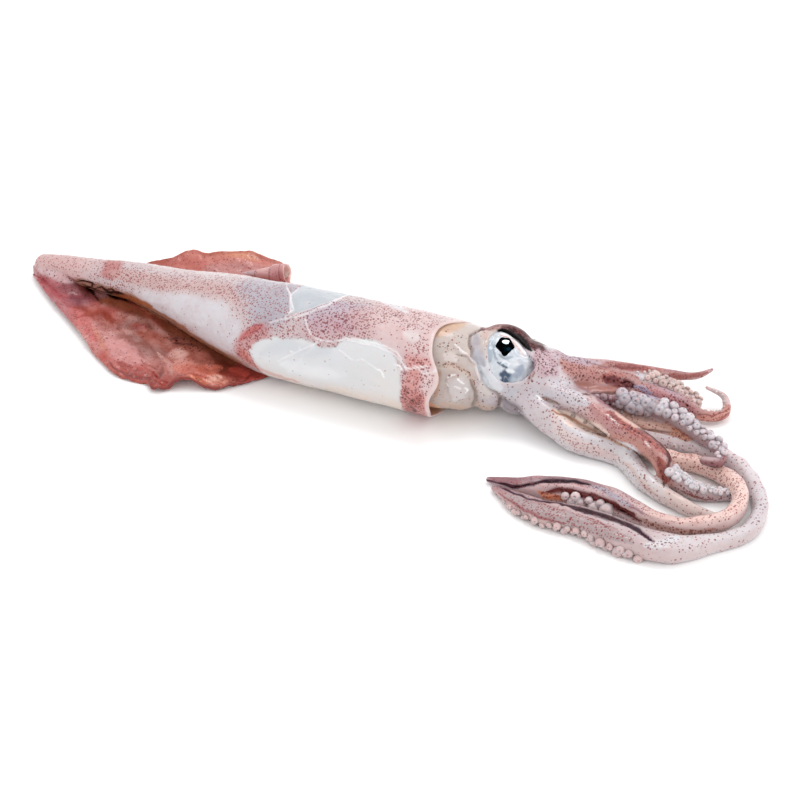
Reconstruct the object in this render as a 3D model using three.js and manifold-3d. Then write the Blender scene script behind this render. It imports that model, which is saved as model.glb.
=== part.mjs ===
// A whole raw squid lying on its back: mantle, two fins, head, eight arms and two long tentacles.
// Units are millimetres, +Z up. It is built with the tail tip at x = 0 and the mantle along +X,
// and moved at the end so that the origin is under the middle of the whole animal.
import * as THREE from 'three';
import { mergeVertices } from 'three/addons/utils/BufferGeometryUtils.js';
import Module from 'manifold-3d';

const wasm = await Module();
wasm.setup();

// Driving sizes of the mantle.
const mantleLength = 183;
const mantleFlatness = 0.92;
const mantleSink = 0.5;
const collarThickness = 2.2;
const pocketDepth = 8;
const tailLift = 3;
const mantleWidths = [
  [0, 2.2], [3, 3.6], [25, 6.1], [45, 8.0], [65, 10.6], [85, 14], [105, 16.7], [125, 18.5], [183, 19],
];
const mantleSway = [[0, 1], [25, 2.9], [50, 4.6], [75, 1.1], [115, -3.6], [150, 0], [183, 4.4]];
// How far forward the collar's edge reaches, by the angle round the mantle in degrees
// (0 is the far side, 90 the top, 180 the near side, 270 underneath).
const collarEdge = [
  [0, 2], [60, 1], [94, -2.8], [126, -0.4], [156, 5.6], [185, 3], [210, 2], [240, -0.5], [300, 0],
  [360, 2],
];

// Driving sizes of the fins.
const finRoot = 2;
const finThickness = 2.4;
const finEdgeThickness = 1.2;
const nearFinWidths = [
  [0, 1.5], [19, 11.5], [44, 25], [66, 38.5], [72, 39.7], [83, 38.5], [87, 40.5], [93, 34.5],
  [98, 30.6], [104, 30], [108, 26.5], [113, 19], [118, 12],
];
const farFinWidths = [[24, 5], [41, 14.5], [48, 23], [56, 29], [62, 32.5], [74, 38.5], [84, 40], [93, 39.5]];
const farFinFront = 112;
const farFinLift = 11.5;
const farFinRollLift = 6.5;
const curlRadius = 3.2;
const curlLength = 14;

// Driving sizes of the head.
const eyeRadius = 9.5;
const socketGap = 0.3;
const eyeDepth = 7;
const leftEye = new THREE.Vector3(200, 13, 21.4);
const leftEyeLooks = new THREE.Vector3(0.27, -0.5, 0.82).normalize();
const rightEye = new THREE.Vector3(202, 25.5, 10);
const rightEyeLooks = new THREE.Vector3(0.1, 0.72, -0.68).normalize();

// Each limb: where its middle line lies, its radius at the base and tip, and how it tapers.
const limbs = {
  armFar: {
    lie: [
      [211, 17, 19], [223, 26, 19], [234, 36, 16], [244, 48, 11], [253, 59.5, 6.5], [257, 67, 6.5],
    ],
    base: 4.6, tip: 0.6, taper: 0.8,
  },
  armHooked: {
    lie: [
      [211, 17, 17], [225, 24, 16], [236, 32.5, 13.5], [247, 41, 9.5], [256, 46, 6], [264, 43, 3.6],
      [269.5, 48, 3], [266.5, 54.5, 5], [259, 53, 8],
    ],
    base: 4.6, tip: 0.5, taper: 0.75,
  },
  armSuckered: {
    lie: [
      [213, 16, 14], [228, 21, 13], [242, 26.5, 12], [256, 28.5, 10.2], [271, 24.5, 8.8],
      [280.5, 19.5, 8.6], [282, 13.5, 8.6], [276, 11, 9],
    ],
    base: 4.4, tip: 0.7, taper: 0.6,
  },
  armRed: {
    lie: [
      [211, 14, 15], [230, 14, 14], [247, 9.5, 12.2], [262, 5.5, 10.8], [270, 1.5, 6.2],
      [279.5, 1.5, 3.2], [292, 8, 1.6],
    ],
    base: 5, tip: 0.9, taper: 0.45,
  },
  armFront: {
    lie: [
      [208, 11, 12], [220, 7.5, 8.5], [233, 5.2, 5], [250, 6.5, 3.6], [263, -2, 3.2], [278, -7, 2.8],
      [294, -6, 1.3],
    ],
    base: 5, tip: 0.9, taper: 0.5,
  },
  armUnder: {
    lie: [
      [212, 18, 11], [225, 22.5, 9], [243, 24, 6.5], [257, 25.5, 4.8], [269, 25, 4.2],
    ],
    base: 4.4, tip: 1.6, taper: 0.4,
  },
  armInner: {
    lie: [
      [212, 14, 9], [226, 12.5, 7.5], [242, 13, 5], [254, 12.5, 3.5], [261, 9.5, 3],
    ],
    base: 4.2, tip: 1, taper: 0.8,
  },
  armHidden: {
    lie: [
      [212, 21, 9], [228, 27.5, 5.5], [246, 24, 3.8], [258, 23, 3.2], [265, 20.5, 3],
    ],
    base: 4.2, tip: 1.2, taper: 0.7,
  },
};
const tentacles = {
  pink: {
    stalk: [
      [214, 18, 9], [230, 21, 5], [250, 16.5, 3.4], [262.5, 13.5, 3.1], [275, 15.5, 3.1], [288, 12, 4],
      [295, 3.5, 5.6], [296, -8, 5.6], [287, -17, 4.2],
    ],
    club: [[276, -19.5, 3.2], [261, -17.5, 3.3], [246, -18.5, 3.3], [232, -24, 2.9], [215.5, -26.5, 1.6]],
    stalkRadius: 3.05,
    clubWidths: [[0, 1], [0.25, 1.1], [0.5, 1.22], [0.72, 1.15], [0.86, 0.66], [1, 0.2]],
    clubShare: 0.34,
    flat: 0.35,
  },
  pale: {
    stalk: [
      [214, 20, 9], [229, 25.5, 5], [252, 22.5, 3], [273, 25, 2.8], [285, 23, 2.8], [295, 15, 2.9],
      [302, 4.5, 3], [303, -9, 3], [295, -21, 3],
    ],
    club: [[285, -30.5, 3.4], [270, -33, 3.6], [255, -32, 3.5], [240, -34.5, 3.1], [219.5, -29.5, 1.6]],
    stalkRadius: 2.85,
    clubWidths: [[0, 1], [0.12, 1.2], [0.35, 1.35], [0.6, 1.2], [0.85, 0.85], [1, 0.2]],
    clubShare: 0.41,
    flat: 0.75,
  },
};

// Rows of suckers: limb, from and to along it, angle from straight up, size at the start, pairs.
const suckerRows = [
  { on: 'armSuckered', from: 0.28, to: 0.86, angle: 8, size: 2.0, pairs: 10 },
  { on: 'armHooked', from: 0.36, to: 0.68, angle: -52, size: 1.7, pairs: 6 },
  { on: 'armUnder', from: 0.35, to: 0.85, angle: 20, size: 1.3, pairs: 4 },
  { on: 'armRed', from: 0.7, to: 0.95, angle: -20, size: 1.5, pairs: 4 },
  { on: 'pink', from: 0.72, to: 0.93, angle: -55, size: 1.5, pairs: 4 },
  { on: 'pale', from: 0.73, to: 0.95, angle: -70, size: 1.6, pairs: 7 },
];

// Where the origin goes: under the middle of the whole animal.
const middle = new THREE.Vector3(153.2, 13.9, 0);

// A smooth value read off pairs of distance and size.
function reading(pairs, at) {
  const last = pairs.length - 1;
  if (at <= pairs[0][0]) return pairs[0][1];
  if (at >= pairs[last][0]) return pairs[last][1];
  const i = pairs.findIndex(([x]) => x > at) - 1;
  const [x0, y0] = pairs[i];
  const [x1, y1] = pairs[i + 1];
  const before = pairs[Math.max(i - 1, 0)];
  const after = pairs[Math.min(i + 2, last)];
  const slope0 = (y1 - before[1]) / (x1 - before[0]);
  const slope1 = (after[1] - y0) / (after[0] - x0);
  const t = (at - x0) / (x1 - x0);
  const step = x1 - x0;
  return y0 * (1 + 2 * t) * (1 - t) ** 2 + y1 * t * t * (3 - 2 * t)
    + step * (slope0 * t * (1 - t) ** 2 - slope1 * t * t * (1 - t));
}

function smooth(t) {
  const k = THREE.MathUtils.clamp(t, 0, 1);
  return k * k * (3 - 2 * k);
}

// Moves every corner of a shape with the given rule.
function reshape(geometry, rule) {
  const corners = geometry.getAttribute('position');
  const p = new THREE.Vector3();
  for (let i = 0; i < corners.count; i++) {
    p.fromBufferAttribute(corners, i);
    rule(p);
    corners.setXYZ(i, p.x, p.y, p.z);
  }
  return geometry;
}

// Turns a closed shape into a solid that can be joined and cut.
function solid(geometry) {
  const bare = geometry.clone();
  bare.deleteAttribute('normal');
  bare.deleteAttribute('uv');
  const merged = mergeVertices(bare, 1e-3);
  const index = merged.index.array;
  const whole = [];
  for (let i = 0; i < index.length; i += 3) {
    const [a, b, c] = [index[i], index[i + 1], index[i + 2]];
    if (a !== b && b !== c && c !== a) whole.push(a, b, c);
  }
  const build = (corners) => new wasm.Manifold(new wasm.Mesh({
    numProp: 3,
    vertProperties: merged.attributes.position.array,
    triVerts: new Uint32Array(corners),
  }));
  const made = build(whole);
  return made.volume() < 0 ? build(whole.reverse()) : made;
}

function geometryOf(made) {
  const mesh = made.getMesh();
  const geometry = new THREE.BufferGeometry();
  geometry.setAttribute('position', new THREE.BufferAttribute(mesh.vertProperties, 3));
  geometry.setIndex(new THREE.BufferAttribute(mesh.triVerts, 1));
  geometry.computeVertexNormals();
  return geometry;
}

const join = (solids) => solids.reduce((whole, next) => whole.add(next));

// The outer skin alone: small hollows that joining has sealed are filled, and loose scraps dropped.
const largest = (made) => made.decompose().reduce((big, next) => (next.volume() > big.volume() ? next : big));

function ball(centre, radii, turn = [0, 0, 0], round = 14, high = 9) {
  const shape = new THREE.SphereGeometry(1, round, high);
  shape.scale(...radii);
  shape.rotateX(turn[0]);
  shape.rotateY(turn[1]);
  shape.rotateZ(turn[2]);
  shape.translate(...centre);
  return solid(shape);
}

// Mantle: a tapering tube with a flat underside and an open collar round the neck.
const mantleRadius = (x) => reading(mantleWidths, x);
const mantleFloor = (x) => Math.max(tailLift * (1 - x / 110), 0) - mantleSink;

function mantle() {
  const along = 21;
  const end = mantleRadius(mantleLength);
  const profile = [new THREE.Vector2(0, 0)];
  for (let i = 0; i <= along; i++) {
    const x = mantleLength * (i / along) ** 1.15;
    profile.push(new THREE.Vector2(mantleRadius(x), x));
  }
  profile.push(new THREE.Vector2(end - 0.5 * collarThickness, mantleLength + 0.8));
  profile.push(new THREE.Vector2(end - collarThickness, mantleLength - 0.2));
  profile.push(new THREE.Vector2(end - collarThickness - 0.5, mantleLength - pocketDepth));
  profile.push(new THREE.Vector2(0, mantleLength - pocketDepth));
  return solid(reshape(new THREE.LatheGeometry(profile, 22), (p) => {
    const x = p.y;
    const radius = mantleRadius(Math.min(x, mantleLength));
    const angle = (THREE.MathUtils.radToDeg(Math.atan2(p.z, p.x)) + 360) % 360;
    const nearEnd = smooth((x - mantleLength + 22) / 22) * smooth(Math.hypot(p.x, p.z) / radius);
    const middleHeight = mantleFloor(x) + mantleFlatness * radius;
    const forward = reading(collarEdge, angle) * nearEnd;
    p.set(x + forward, reading(mantleSway, x) + p.x, middleHeight + mantleFlatness * p.z);
  }));
}

// Fin: a wavy sheet from under the mantle outwards; a front part of the far one curls over.
function fin({ widths, front, side, height, curl, rows, crowd }) {
  const from = widths[0][0];
  const to = widths[widths.length - 1][0];
  return solid(reshape(new THREE.BoxGeometry(1, 1, 1, 17, rows, 1), (p) => {
    const out = 1 - (0.5 - p.y) ** crowd;
    const station = from + (to - from) * (p.x + 0.5);
    const x = station + (front - to) * (p.x + 0.5) * (1 - smooth(out * 1.2));
    const width = reading(widths, station);
    const curled = curl(station);
    const flatWidth = width - curlRadius * smooth(curled / 5);
    const run = (flatWidth + curled) * out;
    const flatRun = Math.min(run, flatWidth);
    const angle = (run - flatRun) / curlRadius;
    const thickness = finThickness + (finEdgeThickness - finThickness) * out;
    const lift = height(station, flatRun / flatWidth);
    const y = reading(mantleSway, x) * (1 - out) + side * (flatRun + curlRadius * Math.sin(angle));
    const z = lift + curlRadius * (1 - Math.cos(angle));
    p.set(x, y - side * Math.sin(angle) * thickness * p.z, z + thickness * p.z * Math.cos(angle));
  }));
}

const nearFin = () => fin({
  widths: nearFinWidths,
  front: 118,
  side: -1,
  rows: 8,
  crowd: 1,
  curl: () => 0,
  height: (x, out) => {
    const edge = smooth((out - 0.45) / 0.55);
    const wave = 1.5 + 1.5 * Math.sin((x - 78) / 3.1) * smooth((x - 66) / 14);
    return finRoot + (0.7 - finRoot) * smooth(out * 2) + edge * wave * smooth((x - 50) / 25);
  },
});

const farFin = () => fin({
  widths: farFinWidths,
  front: farFinFront,
  side: 1,
  rows: 11,
  crowd: 1.5,
  curl: (x) => curlLength * smooth((x - 62) / 24),
  height: (x, out) => {
    const wave = 0.5 * Math.sin((x - 38) / 4) * out * smooth((x - 42) / 10);
    const lift = THREE.MathUtils.lerp(farFinLift, farFinRollLift, smooth((x - 66) / 14));
    return finRoot + (lift - finRoot) * out ** 1.5 * smooth((x - 20) / 30) + wave;
  },
});

// A limb: a round profile turned about an axis, then laid along its curve.
function curveOf(lie) {
  return new THREE.CatmullRomCurve3(lie.map((p) => new THREE.Vector3(...p)), false, 'centripetal');
}

function frameAt(curve, t) {
  const place = curve.getPointAt(t);
  const ahead = curve.getTangentAt(t);
  const side = new THREE.Vector3().crossVectors(ahead, new THREE.Vector3(0, 0, 1)).normalize();
  const up = new THREE.Vector3().crossVectors(side, ahead);
  return { place, ahead, side, up };
}

function limb(lie, radiusAt, along, around = 8, wideAt = () => 1) {
  const curve = curveOf(lie);
  const profile = [new THREE.Vector2(0, 0)];
  for (let i = 0; i <= along; i++) profile.push(new THREE.Vector2(radiusAt(i / along), i / along));
  profile.push(new THREE.Vector2(0, 1));
  return solid(reshape(new THREE.LatheGeometry(profile, around), (p) => {
    const t = THREE.MathUtils.clamp(p.y, 0, 1);
    const { place, side, up } = frameAt(curve, t);
    const across = p.x * wideAt(t);
    const high = p.z;
    p.copy(place).addScaledVector(side, across).addScaledVector(up, high);
  }));
}

const armRadius = ({ base, tip, taper }) => (t) => tip + (base - tip) * (1 - t) ** taper;
const armSolid = (arm) => limb(arm.lie, armRadius(arm), 16, 7);

// Along a tentacle the radius is even up to the club, which swells and runs out to a point.
const clubPart = ({ clubShare }, t) => Math.max((t - 1 + clubShare) / clubShare, 0);
const tentacleRadius = (tentacle) => (t) => (
  tentacle.stalkRadius * reading(tentacle.clubWidths, clubPart(tentacle, t)));

const tentacleLie = ({ stalk, club }) => [...stalk, ...club];
const tentacleSolid = (tentacle) => limb(
  tentacleLie(tentacle), tentacleRadius(tentacle), 42, 7,
  (t) => 1 + tentacle.flat * smooth(clubPart(tentacle, t) * 4));

// Suckers: low domes in two staggered rows, smaller toward the tip.
function suckers({ on, from, to, angle, size, pairs }) {
  const arm = limbs[on];
  const curve = curveOf(arm ? arm.lie : tentacleLie(tentacles[on]));
  const radiusAt = arm ? armRadius(arm) : tentacleRadius(tentacles[on]);
  const made = [];
  for (let i = 0; i < 2 * pairs; i++) {
    const t = THREE.MathUtils.lerp(from, to, (i + 0.5) / (2 * pairs));
    const { place, side, up } = frameAt(curve, t);
    const lean = THREE.MathUtils.degToRad(angle + (i % 2 ? 32 : -32));
    const reach = radiusAt(t) * 0.95;
    const radius = Math.min(size * (1 - 0.45 * (i / (2 * pairs))), 0.62 * radiusAt(t) + 0.4);
    const dome = new THREE.IcosahedronGeometry(radius, 0);
    place.addScaledVector(up, Math.cos(lean) * reach).addScaledVector(side, Math.sin(lean) * reach);
    dome.translate(place.x, place.y, place.z);
    made.push(solid(dome));
  }
  return join(made);
}

// Neck, funnel, head and the crown that the limbs grow from.
function headParts() {
  const neckLie = [[171, 4, 17], [182, 8.5, 15.8], [191, 13.8, 15], [202, 18.5, 14]];
  const neck = limb(neckLie, (t) => 14.6 - 3 * smooth(t * 1.3 - 0.3), 7, 16);
  return [
    neck,
    ball([187, 5, 9], [8.5, 7, 7], [0, 0, 0.35], 12, 8),
    ball([196, 9.5, 8.5], [5.6, 5.6, 7], [0, 0, 0.3], 12, 8),
    ball([207, 18.5, 13.8], [13.5, 12, 12.6], [0, 0.06, 0.2]),
    ball([197.5, 19.5, 22], [10.5, 7, 8], [0, 0.1, 0.2], 12, 8),
    ball([218, 18, 13], [12, 9, 9.2], [0, 0.1, 0.15], 12, 8),
    ball([206, 13.5, 8], [8, 6.5, 6.5], [0, 0, 0.2], 12, 8),
  ];
}

// An eye is a flattened ball that looks along its short axis.
const orbitWall = 1.5;
const orbitDrop = 2.6;

function eyeShape(eye, looks, extra, drop = 0) {
  const shape = new THREE.SphereGeometry(1, 16, 10);
  shape.rotateX(Math.PI / 2);
  shape.scale(eyeRadius + extra, eyeRadius + extra, eyeDepth + extra);
  shape.applyQuaternion(new THREE.Quaternion().setFromUnitVectors(new THREE.Vector3(0, 0, 1), looks));
  const place = eye.clone().addScaledVector(looks, -drop);
  return shape.translate(place.x, place.y, place.z);
}

const orbit = (eye, looks) => solid(eyeShape(eye, looks, orbitWall, orbitDrop));
const socket = (eye, looks) => solid(eyeShape(eye, looks, socketGap));

function squid() {
  const flesh = join([
    mantle(), nearFin(), farFin(), ...headParts(),
    orbit(leftEye, leftEyeLooks), orbit(rightEye, rightEyeLooks),
    ...Object.values(limbs).map(armSolid),
    ...Object.values(tentacles).map(tentacleSolid),
    ...suckerRows.map(suckers),
  ]);
  const floor = new THREE.BoxGeometry(400, 300, 40);
  floor.translate(150, 0, -20);
  const rested = flesh.subtract(solid(floor));
  const sockets = socket(leftEye, leftEyeLooks).add(socket(rightEye, rightEyeLooks));
  return largest(rested.subtract(sockets));
}

const fleshSkin = new THREE.MeshStandardMaterial({ color: 0xd6bdb9, roughness: 0.32, metalness: 0 });
const eyeSilver = new THREE.MeshStandardMaterial({ color: 0xc9ced2, roughness: 0.15, metalness: 0 });

function add(group, name, geometry, material) {
  const mesh = new THREE.Mesh(geometry, material);
  mesh.name = name;
  group.add(mesh);
  return mesh;
}

const animal = new THREE.Group();
const posed = new THREE.Group();
posed.position.copy(middle).negate();
animal.add(posed);
add(posed, 'squid', geometryOf(squid()), fleshSkin);
add(posed, 'eye_left', eyeShape(leftEye, leftEyeLooks, 0), eyeSilver);
add(posed, 'eye_right', eyeShape(rightEye, rightEyeLooks, 0), eyeSilver);

export default animal;
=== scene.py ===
# A whole raw squid: wet speckled skin, fins, head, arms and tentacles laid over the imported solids.
# Sizes are in millimetres, with the tail tip at x = 0, until settle() moves a piece to the frame.
import bpy
import math
import numpy as np
from mathutils import Matrix, Vector


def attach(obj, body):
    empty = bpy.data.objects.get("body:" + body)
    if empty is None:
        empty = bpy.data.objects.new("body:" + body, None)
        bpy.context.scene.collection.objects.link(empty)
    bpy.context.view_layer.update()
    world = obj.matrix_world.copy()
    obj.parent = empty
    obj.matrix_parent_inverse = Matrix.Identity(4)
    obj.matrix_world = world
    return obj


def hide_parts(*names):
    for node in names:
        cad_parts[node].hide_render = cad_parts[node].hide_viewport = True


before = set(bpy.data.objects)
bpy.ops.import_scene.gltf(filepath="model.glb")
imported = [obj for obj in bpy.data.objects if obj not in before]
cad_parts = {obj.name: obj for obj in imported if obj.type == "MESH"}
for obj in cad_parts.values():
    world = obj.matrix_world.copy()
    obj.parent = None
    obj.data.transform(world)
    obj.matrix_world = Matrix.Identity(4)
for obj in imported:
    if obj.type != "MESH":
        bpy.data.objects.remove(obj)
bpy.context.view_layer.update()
middle = np.array([153.2, 13.9, 0.0])       # the frame's origin, from the tail tip
lowest = 0.03       # the least gap over the table

# Plain number helpers


def smooth(t):
    t = np.clip(t, 0, 1)
    return t * t * (3 - 2 * t)


def ramp(x, start, end):            # 0 at start, 1 at end, smooth between; end may be the lower one
    return smooth((x - start) / (end - start))


def hump(x, at, width):             # a soft bump, 1 at its middle
    return np.exp(-((x - at) / width) ** 2)


def unit(rows):                     # the same directions, each of length 1
    return rows / np.maximum(np.linalg.norm(rows, axis=1), 1e-9)[:, None]


def reading(pairs, at):     # a smooth value read off pairs of distance and size
    xs, ys = np.array(pairs, float).T
    at = np.clip(np.asarray(at, float), xs[0], xs[-1])
    i = np.clip(np.searchsorted(xs, at, side="right") - 1, 0, len(xs) - 2)
    before, after = np.maximum(i - 1, 0), np.minimum(i + 2, len(xs) - 1)
    step = xs[i + 1] - xs[i]
    t = (at - xs[i]) / step
    slope0 = (ys[i + 1] - ys[before]) / (xs[i + 1] - xs[before])
    slope1 = (ys[after] - ys[i]) / (xs[after] - xs[i])
    ends = ys[i] * (1 + 2 * t) * (1 - t) ** 2 + ys[i + 1] * t * t * (3 - 2 * t)
    return ends + step * (slope0 * t * (1 - t) ** 2 - slope1 * t * t * (1 - t))


def swell(points, size, seed, waves=9):     # gentle unevenness, about -1 to 1
    draw = np.random.default_rng(seed)
    total = np.zeros(len(points))
    for _ in range(waves):
        direction = draw.normal(size=points.shape[1])
        direction /= np.linalg.norm(direction)
        length = size * draw.uniform(0.7, 1.5)
        total += np.sin(points @ direction * 2 * math.pi / length + draw.uniform(0, 2 * math.pi))
    return total / math.sqrt(waves)


def distanceTo(points, path):       # distance from each point to a line through the path
    path = np.array(path, float)
    if len(path) == 1:
        return np.linalg.norm(points - path[0], axis=1)
    best = np.full(len(points), 1e9)
    for a, b in zip(path[:-1], path[1:]):
        run = b - a
        along = np.clip((points - a) @ run / (run @ run), 0, 1)
        best = np.minimum(best, np.linalg.norm(points - a - along[:, None] * run, axis=1))
    return best


def insideOf(points, ring):         # whether each flat point is inside a closed ring
    ring = np.array(ring, float)
    crossings = np.zeros(len(points), int)
    for (x0, y0), (x1, y1) in zip(ring, np.roll(ring, -1, axis=0)):
        if y0 == y1:
            continue
        spans = (points[:, 1] > min(y0, y1)) & (points[:, 1] <= max(y0, y1))
        at = x0 + (points[:, 1] - y0) * (x1 - x0) / (y1 - y0)
        crossings += spans & (points[:, 0] < at)
    return crossings % 2 == 1


def depthInside(points, ring):      # distance from a closed ring, less than 0 outside it
    gap = distanceTo(points, [*ring, ring[0]])
    return np.where(insideOf(points, ring), gap, -gap)


def linear(hexText):                # a screen colour as linear light
    values = np.array([int(hexText[i:i + 2], 16) / 255 for i in (1, 3, 5)])
    return np.where(values <= 0.04045, values / 12.92, ((values + 0.055) / 1.055) ** 2.4)


# Brush strokes are traced on the photograph, in pixels of its 800 x 800 frame, and laid on skin in its view


def seenAt(points):                 # places in the photograph's frame, and their distance in millimetres
    start, end = np.array(camera["eye"]), np.array(camera["target"])
    ahead = (end - start) / np.linalg.norm(end - start)
    right = np.cross(ahead, [0, 0, 1])
    right /= np.linalg.norm(right)
    gap = points - middle - start
    far = gap @ ahead
    scale = camera["lens"] / camera["sensor"] * camera["frame"] / far
    across, down = scale * (gap @ right), scale * (gap @ np.cross(ahead, right))
    return np.stack([across, down], axis=1) + camera["frame"] / 2, far


sight = {"cell": 2, "grazing": 0.12, "slack": 1.2, "slope": 0.8, "steepest": 0.15}


def inView(points, normals):        # the same places, and 1 where skin is in the photograph's view
    seen, far = seenAt(points)
    gap = points - middle - camera["eye"]
    facing = -(gap * normals).sum(axis=1) / np.linalg.norm(gap, axis=1)
    cells = camera["frame"] // sight["cell"]
    cell = np.clip((seen / sight["cell"]).astype(int), 0, cells - 1)
    nearest = np.full((cells, cells), 1e9)
    np.minimum.at(nearest, (cell[:, 1], cell[:, 0]), far)
    behind = far - nearest[cell[:, 1], cell[:, 0]]
    slack = sight["slack"] + sight["slope"] / np.maximum(facing, sight["steepest"])
    return seen, smooth(facing / sight["grazing"]) * (behind < slack)


# Meshes


def deselect():
    bpy.ops.object.select_all(action="DESELECT")


def pick(piece):
    deselect()
    piece.select_set(True)
    bpy.context.view_layer.objects.active = piece


def edit(piece, *steps):            # runs edit-mode operators on the whole piece
    pick(piece)
    bpy.ops.object.mode_set(mode="EDIT")
    bpy.ops.mesh.select_all(action="SELECT")
    for step in steps:
        step()
    bpy.ops.object.mode_set(mode="OBJECT")


def closeUp(piece):                 # joins corners at one place, and turns every face outward
    edit(piece, lambda: bpy.ops.mesh.remove_doubles(threshold=2e-6),
         lambda: bpy.ops.mesh.normals_make_consistent(inside=False))


def rowsOf(collection, key):        # one vector for each corner
    flat = np.empty(len(collection) * 3)
    collection.foreach_get(key, flat)
    return flat.reshape(-1, 3)


def pointsOf(piece):                # corners in millimetres, tail tip at x = 0
    return rowsOf(piece.data.vertices, "co") * 1000 + middle


wobble = {"reach": 0.5, "size": 14, "seeds": (61, 62)}      # of the strokes' outlines, in pixels


def brushOver(piece, paint, strokes):       # paints a settled piece, and raises its skin where a stroke does
    edit(piece, lambda: bpy.ops.mesh.normals_make_consistent(inside=False))
    points, normals = pointsOf(piece), rowsOf(piece.data.vertex_normals, "vector")
    seen, shown = inView(points, normals)
    waver = [swell(seen, wobble["size"], seed) for seed in wobble["seeds"]]
    seen += wobble["reach"] * np.stack(waver, axis=1)
    lift = paint.stroke(seen, shown, strokes)
    settle(piece, points + normals * lift[:, None])
    paint.store(piece)


def settle(piece, points):          # puts corners in the frame, none of them under the table
    placed = (points - middle) / 1000
    placed[:, 2] = np.maximum(placed[:, 2], lowest / 1000)
    piece.data.vertices.foreach_set("co", placed.ravel())
    piece.data.update()


def finish(piece, material, slot, *nodes):
    closeUp(piece)
    bpy.ops.object.shade_smooth()
    piece.data.materials.clear()
    piece.data.materials.append(material)
    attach(piece, "root")
    if nodes:
        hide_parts(*nodes)
    print(piece.name, len(piece.data.polygons), "faces")


def gridSheet(name, columns, rows):     # a grid, with each corner's share along and across
    deselect()
    bpy.ops.mesh.primitive_grid_add(x_subdivisions=columns, y_subdivisions=rows, size=1)
    piece = bpy.context.object
    piece.name = piece.data.name = name
    shares = rowsOf(piece.data.vertices, "co") + 0.5
    return piece, shares[:, 0], shares[:, 1]


def lippedSheet(name, look):        # a grid out along a tube and in over its lip, with place, depth and turn
    outer = np.linspace(0, look["outerEnd"], look["columns"] - len(look["lip"]) + 1)
    stations = np.concatenate([outer, [p[0] for p in look["lip"]]])
    insets = np.concatenate([np.zeros(len(outer)), [p[1] for p in look["lip"]]])
    piece, along, across = gridSheet(name, look["columns"], look["rows"])
    column = np.rint(along * look["columns"]).astype(int)
    return piece, stations[column], insets[column], across


paintLevel = 0.87       # flesh is mixed a little darker, because the studio is brighter than its floor
bareFlesh = "#D9D9DB"   # under the skin


class Paint:                        # a piece's colours and marks, kept at its corners
    def __init__(self, count, tint, dots=0, dark=0):
        self.tint = np.tile(linear(tint), (count, 1))
        self.under = np.tile(linear(bareFlesh), (count, 1))
        self.dots = np.full(count, float(dots))
        self.dark = np.full(count, float(dark))
        self.bare = np.full(count, -1.0)
        self.fold = np.ones(count)

    def wash(self, weight, tint, under=False):
        layer = self.under if under else self.tint
        layer += weight[:, None] * (linear(tint) - layer)

    def speckle(self, weight, dots=None, dark=None):
        if dots is not None:
            self.dots += weight * (dots - self.dots)
        if dark is not None:
            self.dark += weight * (dark - self.dark)

    def patches(self, places, looks):               # even patches, and where any of them lies
        weights = [near(places, look["path"], look["width"], look["soft"]) for look in looks.values()]
        for weight, look in zip(weights, looks.values()):
            if look["tint"]:
                self.wash(weight * look.get("strength", 1), look["tint"])
            self.speckle(weight, look.get("dots"), look.get("dark"))
        return np.max(weights, axis=0)

    def stroke(self, places, shown, strokes):       # brush strokes, and how far they raise the skin
        lift = np.zeros(len(places))
        for brush in strokes.values():
            reach = brush["width"] + brush["soft"]
            low, high = np.min(brush["path"], axis=0) - reach, np.max(brush["path"], axis=0) + reach
            rows = np.flatnonzero(((places > low) & (places < high)).all(axis=1))
            weight = np.zeros(len(places))
            weight[rows] = brushMark(places[rows], brush)
            weight *= shown * brush.get("strength", 1)
            if brush["tint"]:
                self.wash(weight, brush["tint"])
                self.wash(weight, brush["tint"], under=True)
            self.speckle(weight, brush.get("dots"), brush.get("dark"))
            lift += weight * brush.get("lift", 0)
        return lift

    def store(self, piece):
        full = np.ones(len(self.dots))
        layers = {"tint": (self.tint * paintLevel, full), "under": (self.under * paintLevel, full),
                  "marks": (np.stack([self.dots, self.dark, self.bare], axis=1), self.fold)}
        for name, (values, fourth) in layers.items():
            layer = piece.data.attributes.new(name, "FLOAT_COLOR", "POINT")
            colours = np.hstack([values, fourth[:, None]]).astype(np.float32)
            layer.data.foreach_set("color", colours.ravel())


def near(points, path, width, soft):    # 1 on the path, falling to 0 past its width
    return 1 - smooth((distanceTo(points, path) - width) / soft)


def brushMark(points, brush):           # the same for a brush stroke, which thins toward its ends
    path = np.array(brush["path"], float)
    longs = np.linalg.norm(np.diff(path, axis=0), axis=1)
    best, share = np.full(len(points), 1e9), np.zeros(len(points))
    for a, b, before, long in zip(path[:-1], path[1:], np.cumsum(longs) - longs, longs):
        along = np.clip((points - a) @ (b - a) / long ** 2, 0, 1)
        gap = np.linalg.norm(points - a - along[:, None] * (b - a), axis=1)
        share = np.where(gap < best, (before + along * long) / longs.sum(), share)
        best = np.minimum(best, gap)
    slim = 1 - 0.6 * (2 * share - 1) ** 4
    return 1 - smooth((best / slim - brush["width"]) / brush["soft"])


def touch(path, width, soft, tint=None, **more):    # one stroke or patch: path, half width, soft edge, tint
    return {"path": path, "width": width, "soft": soft, "tint": tint, **more}


# Shader maths


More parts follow.
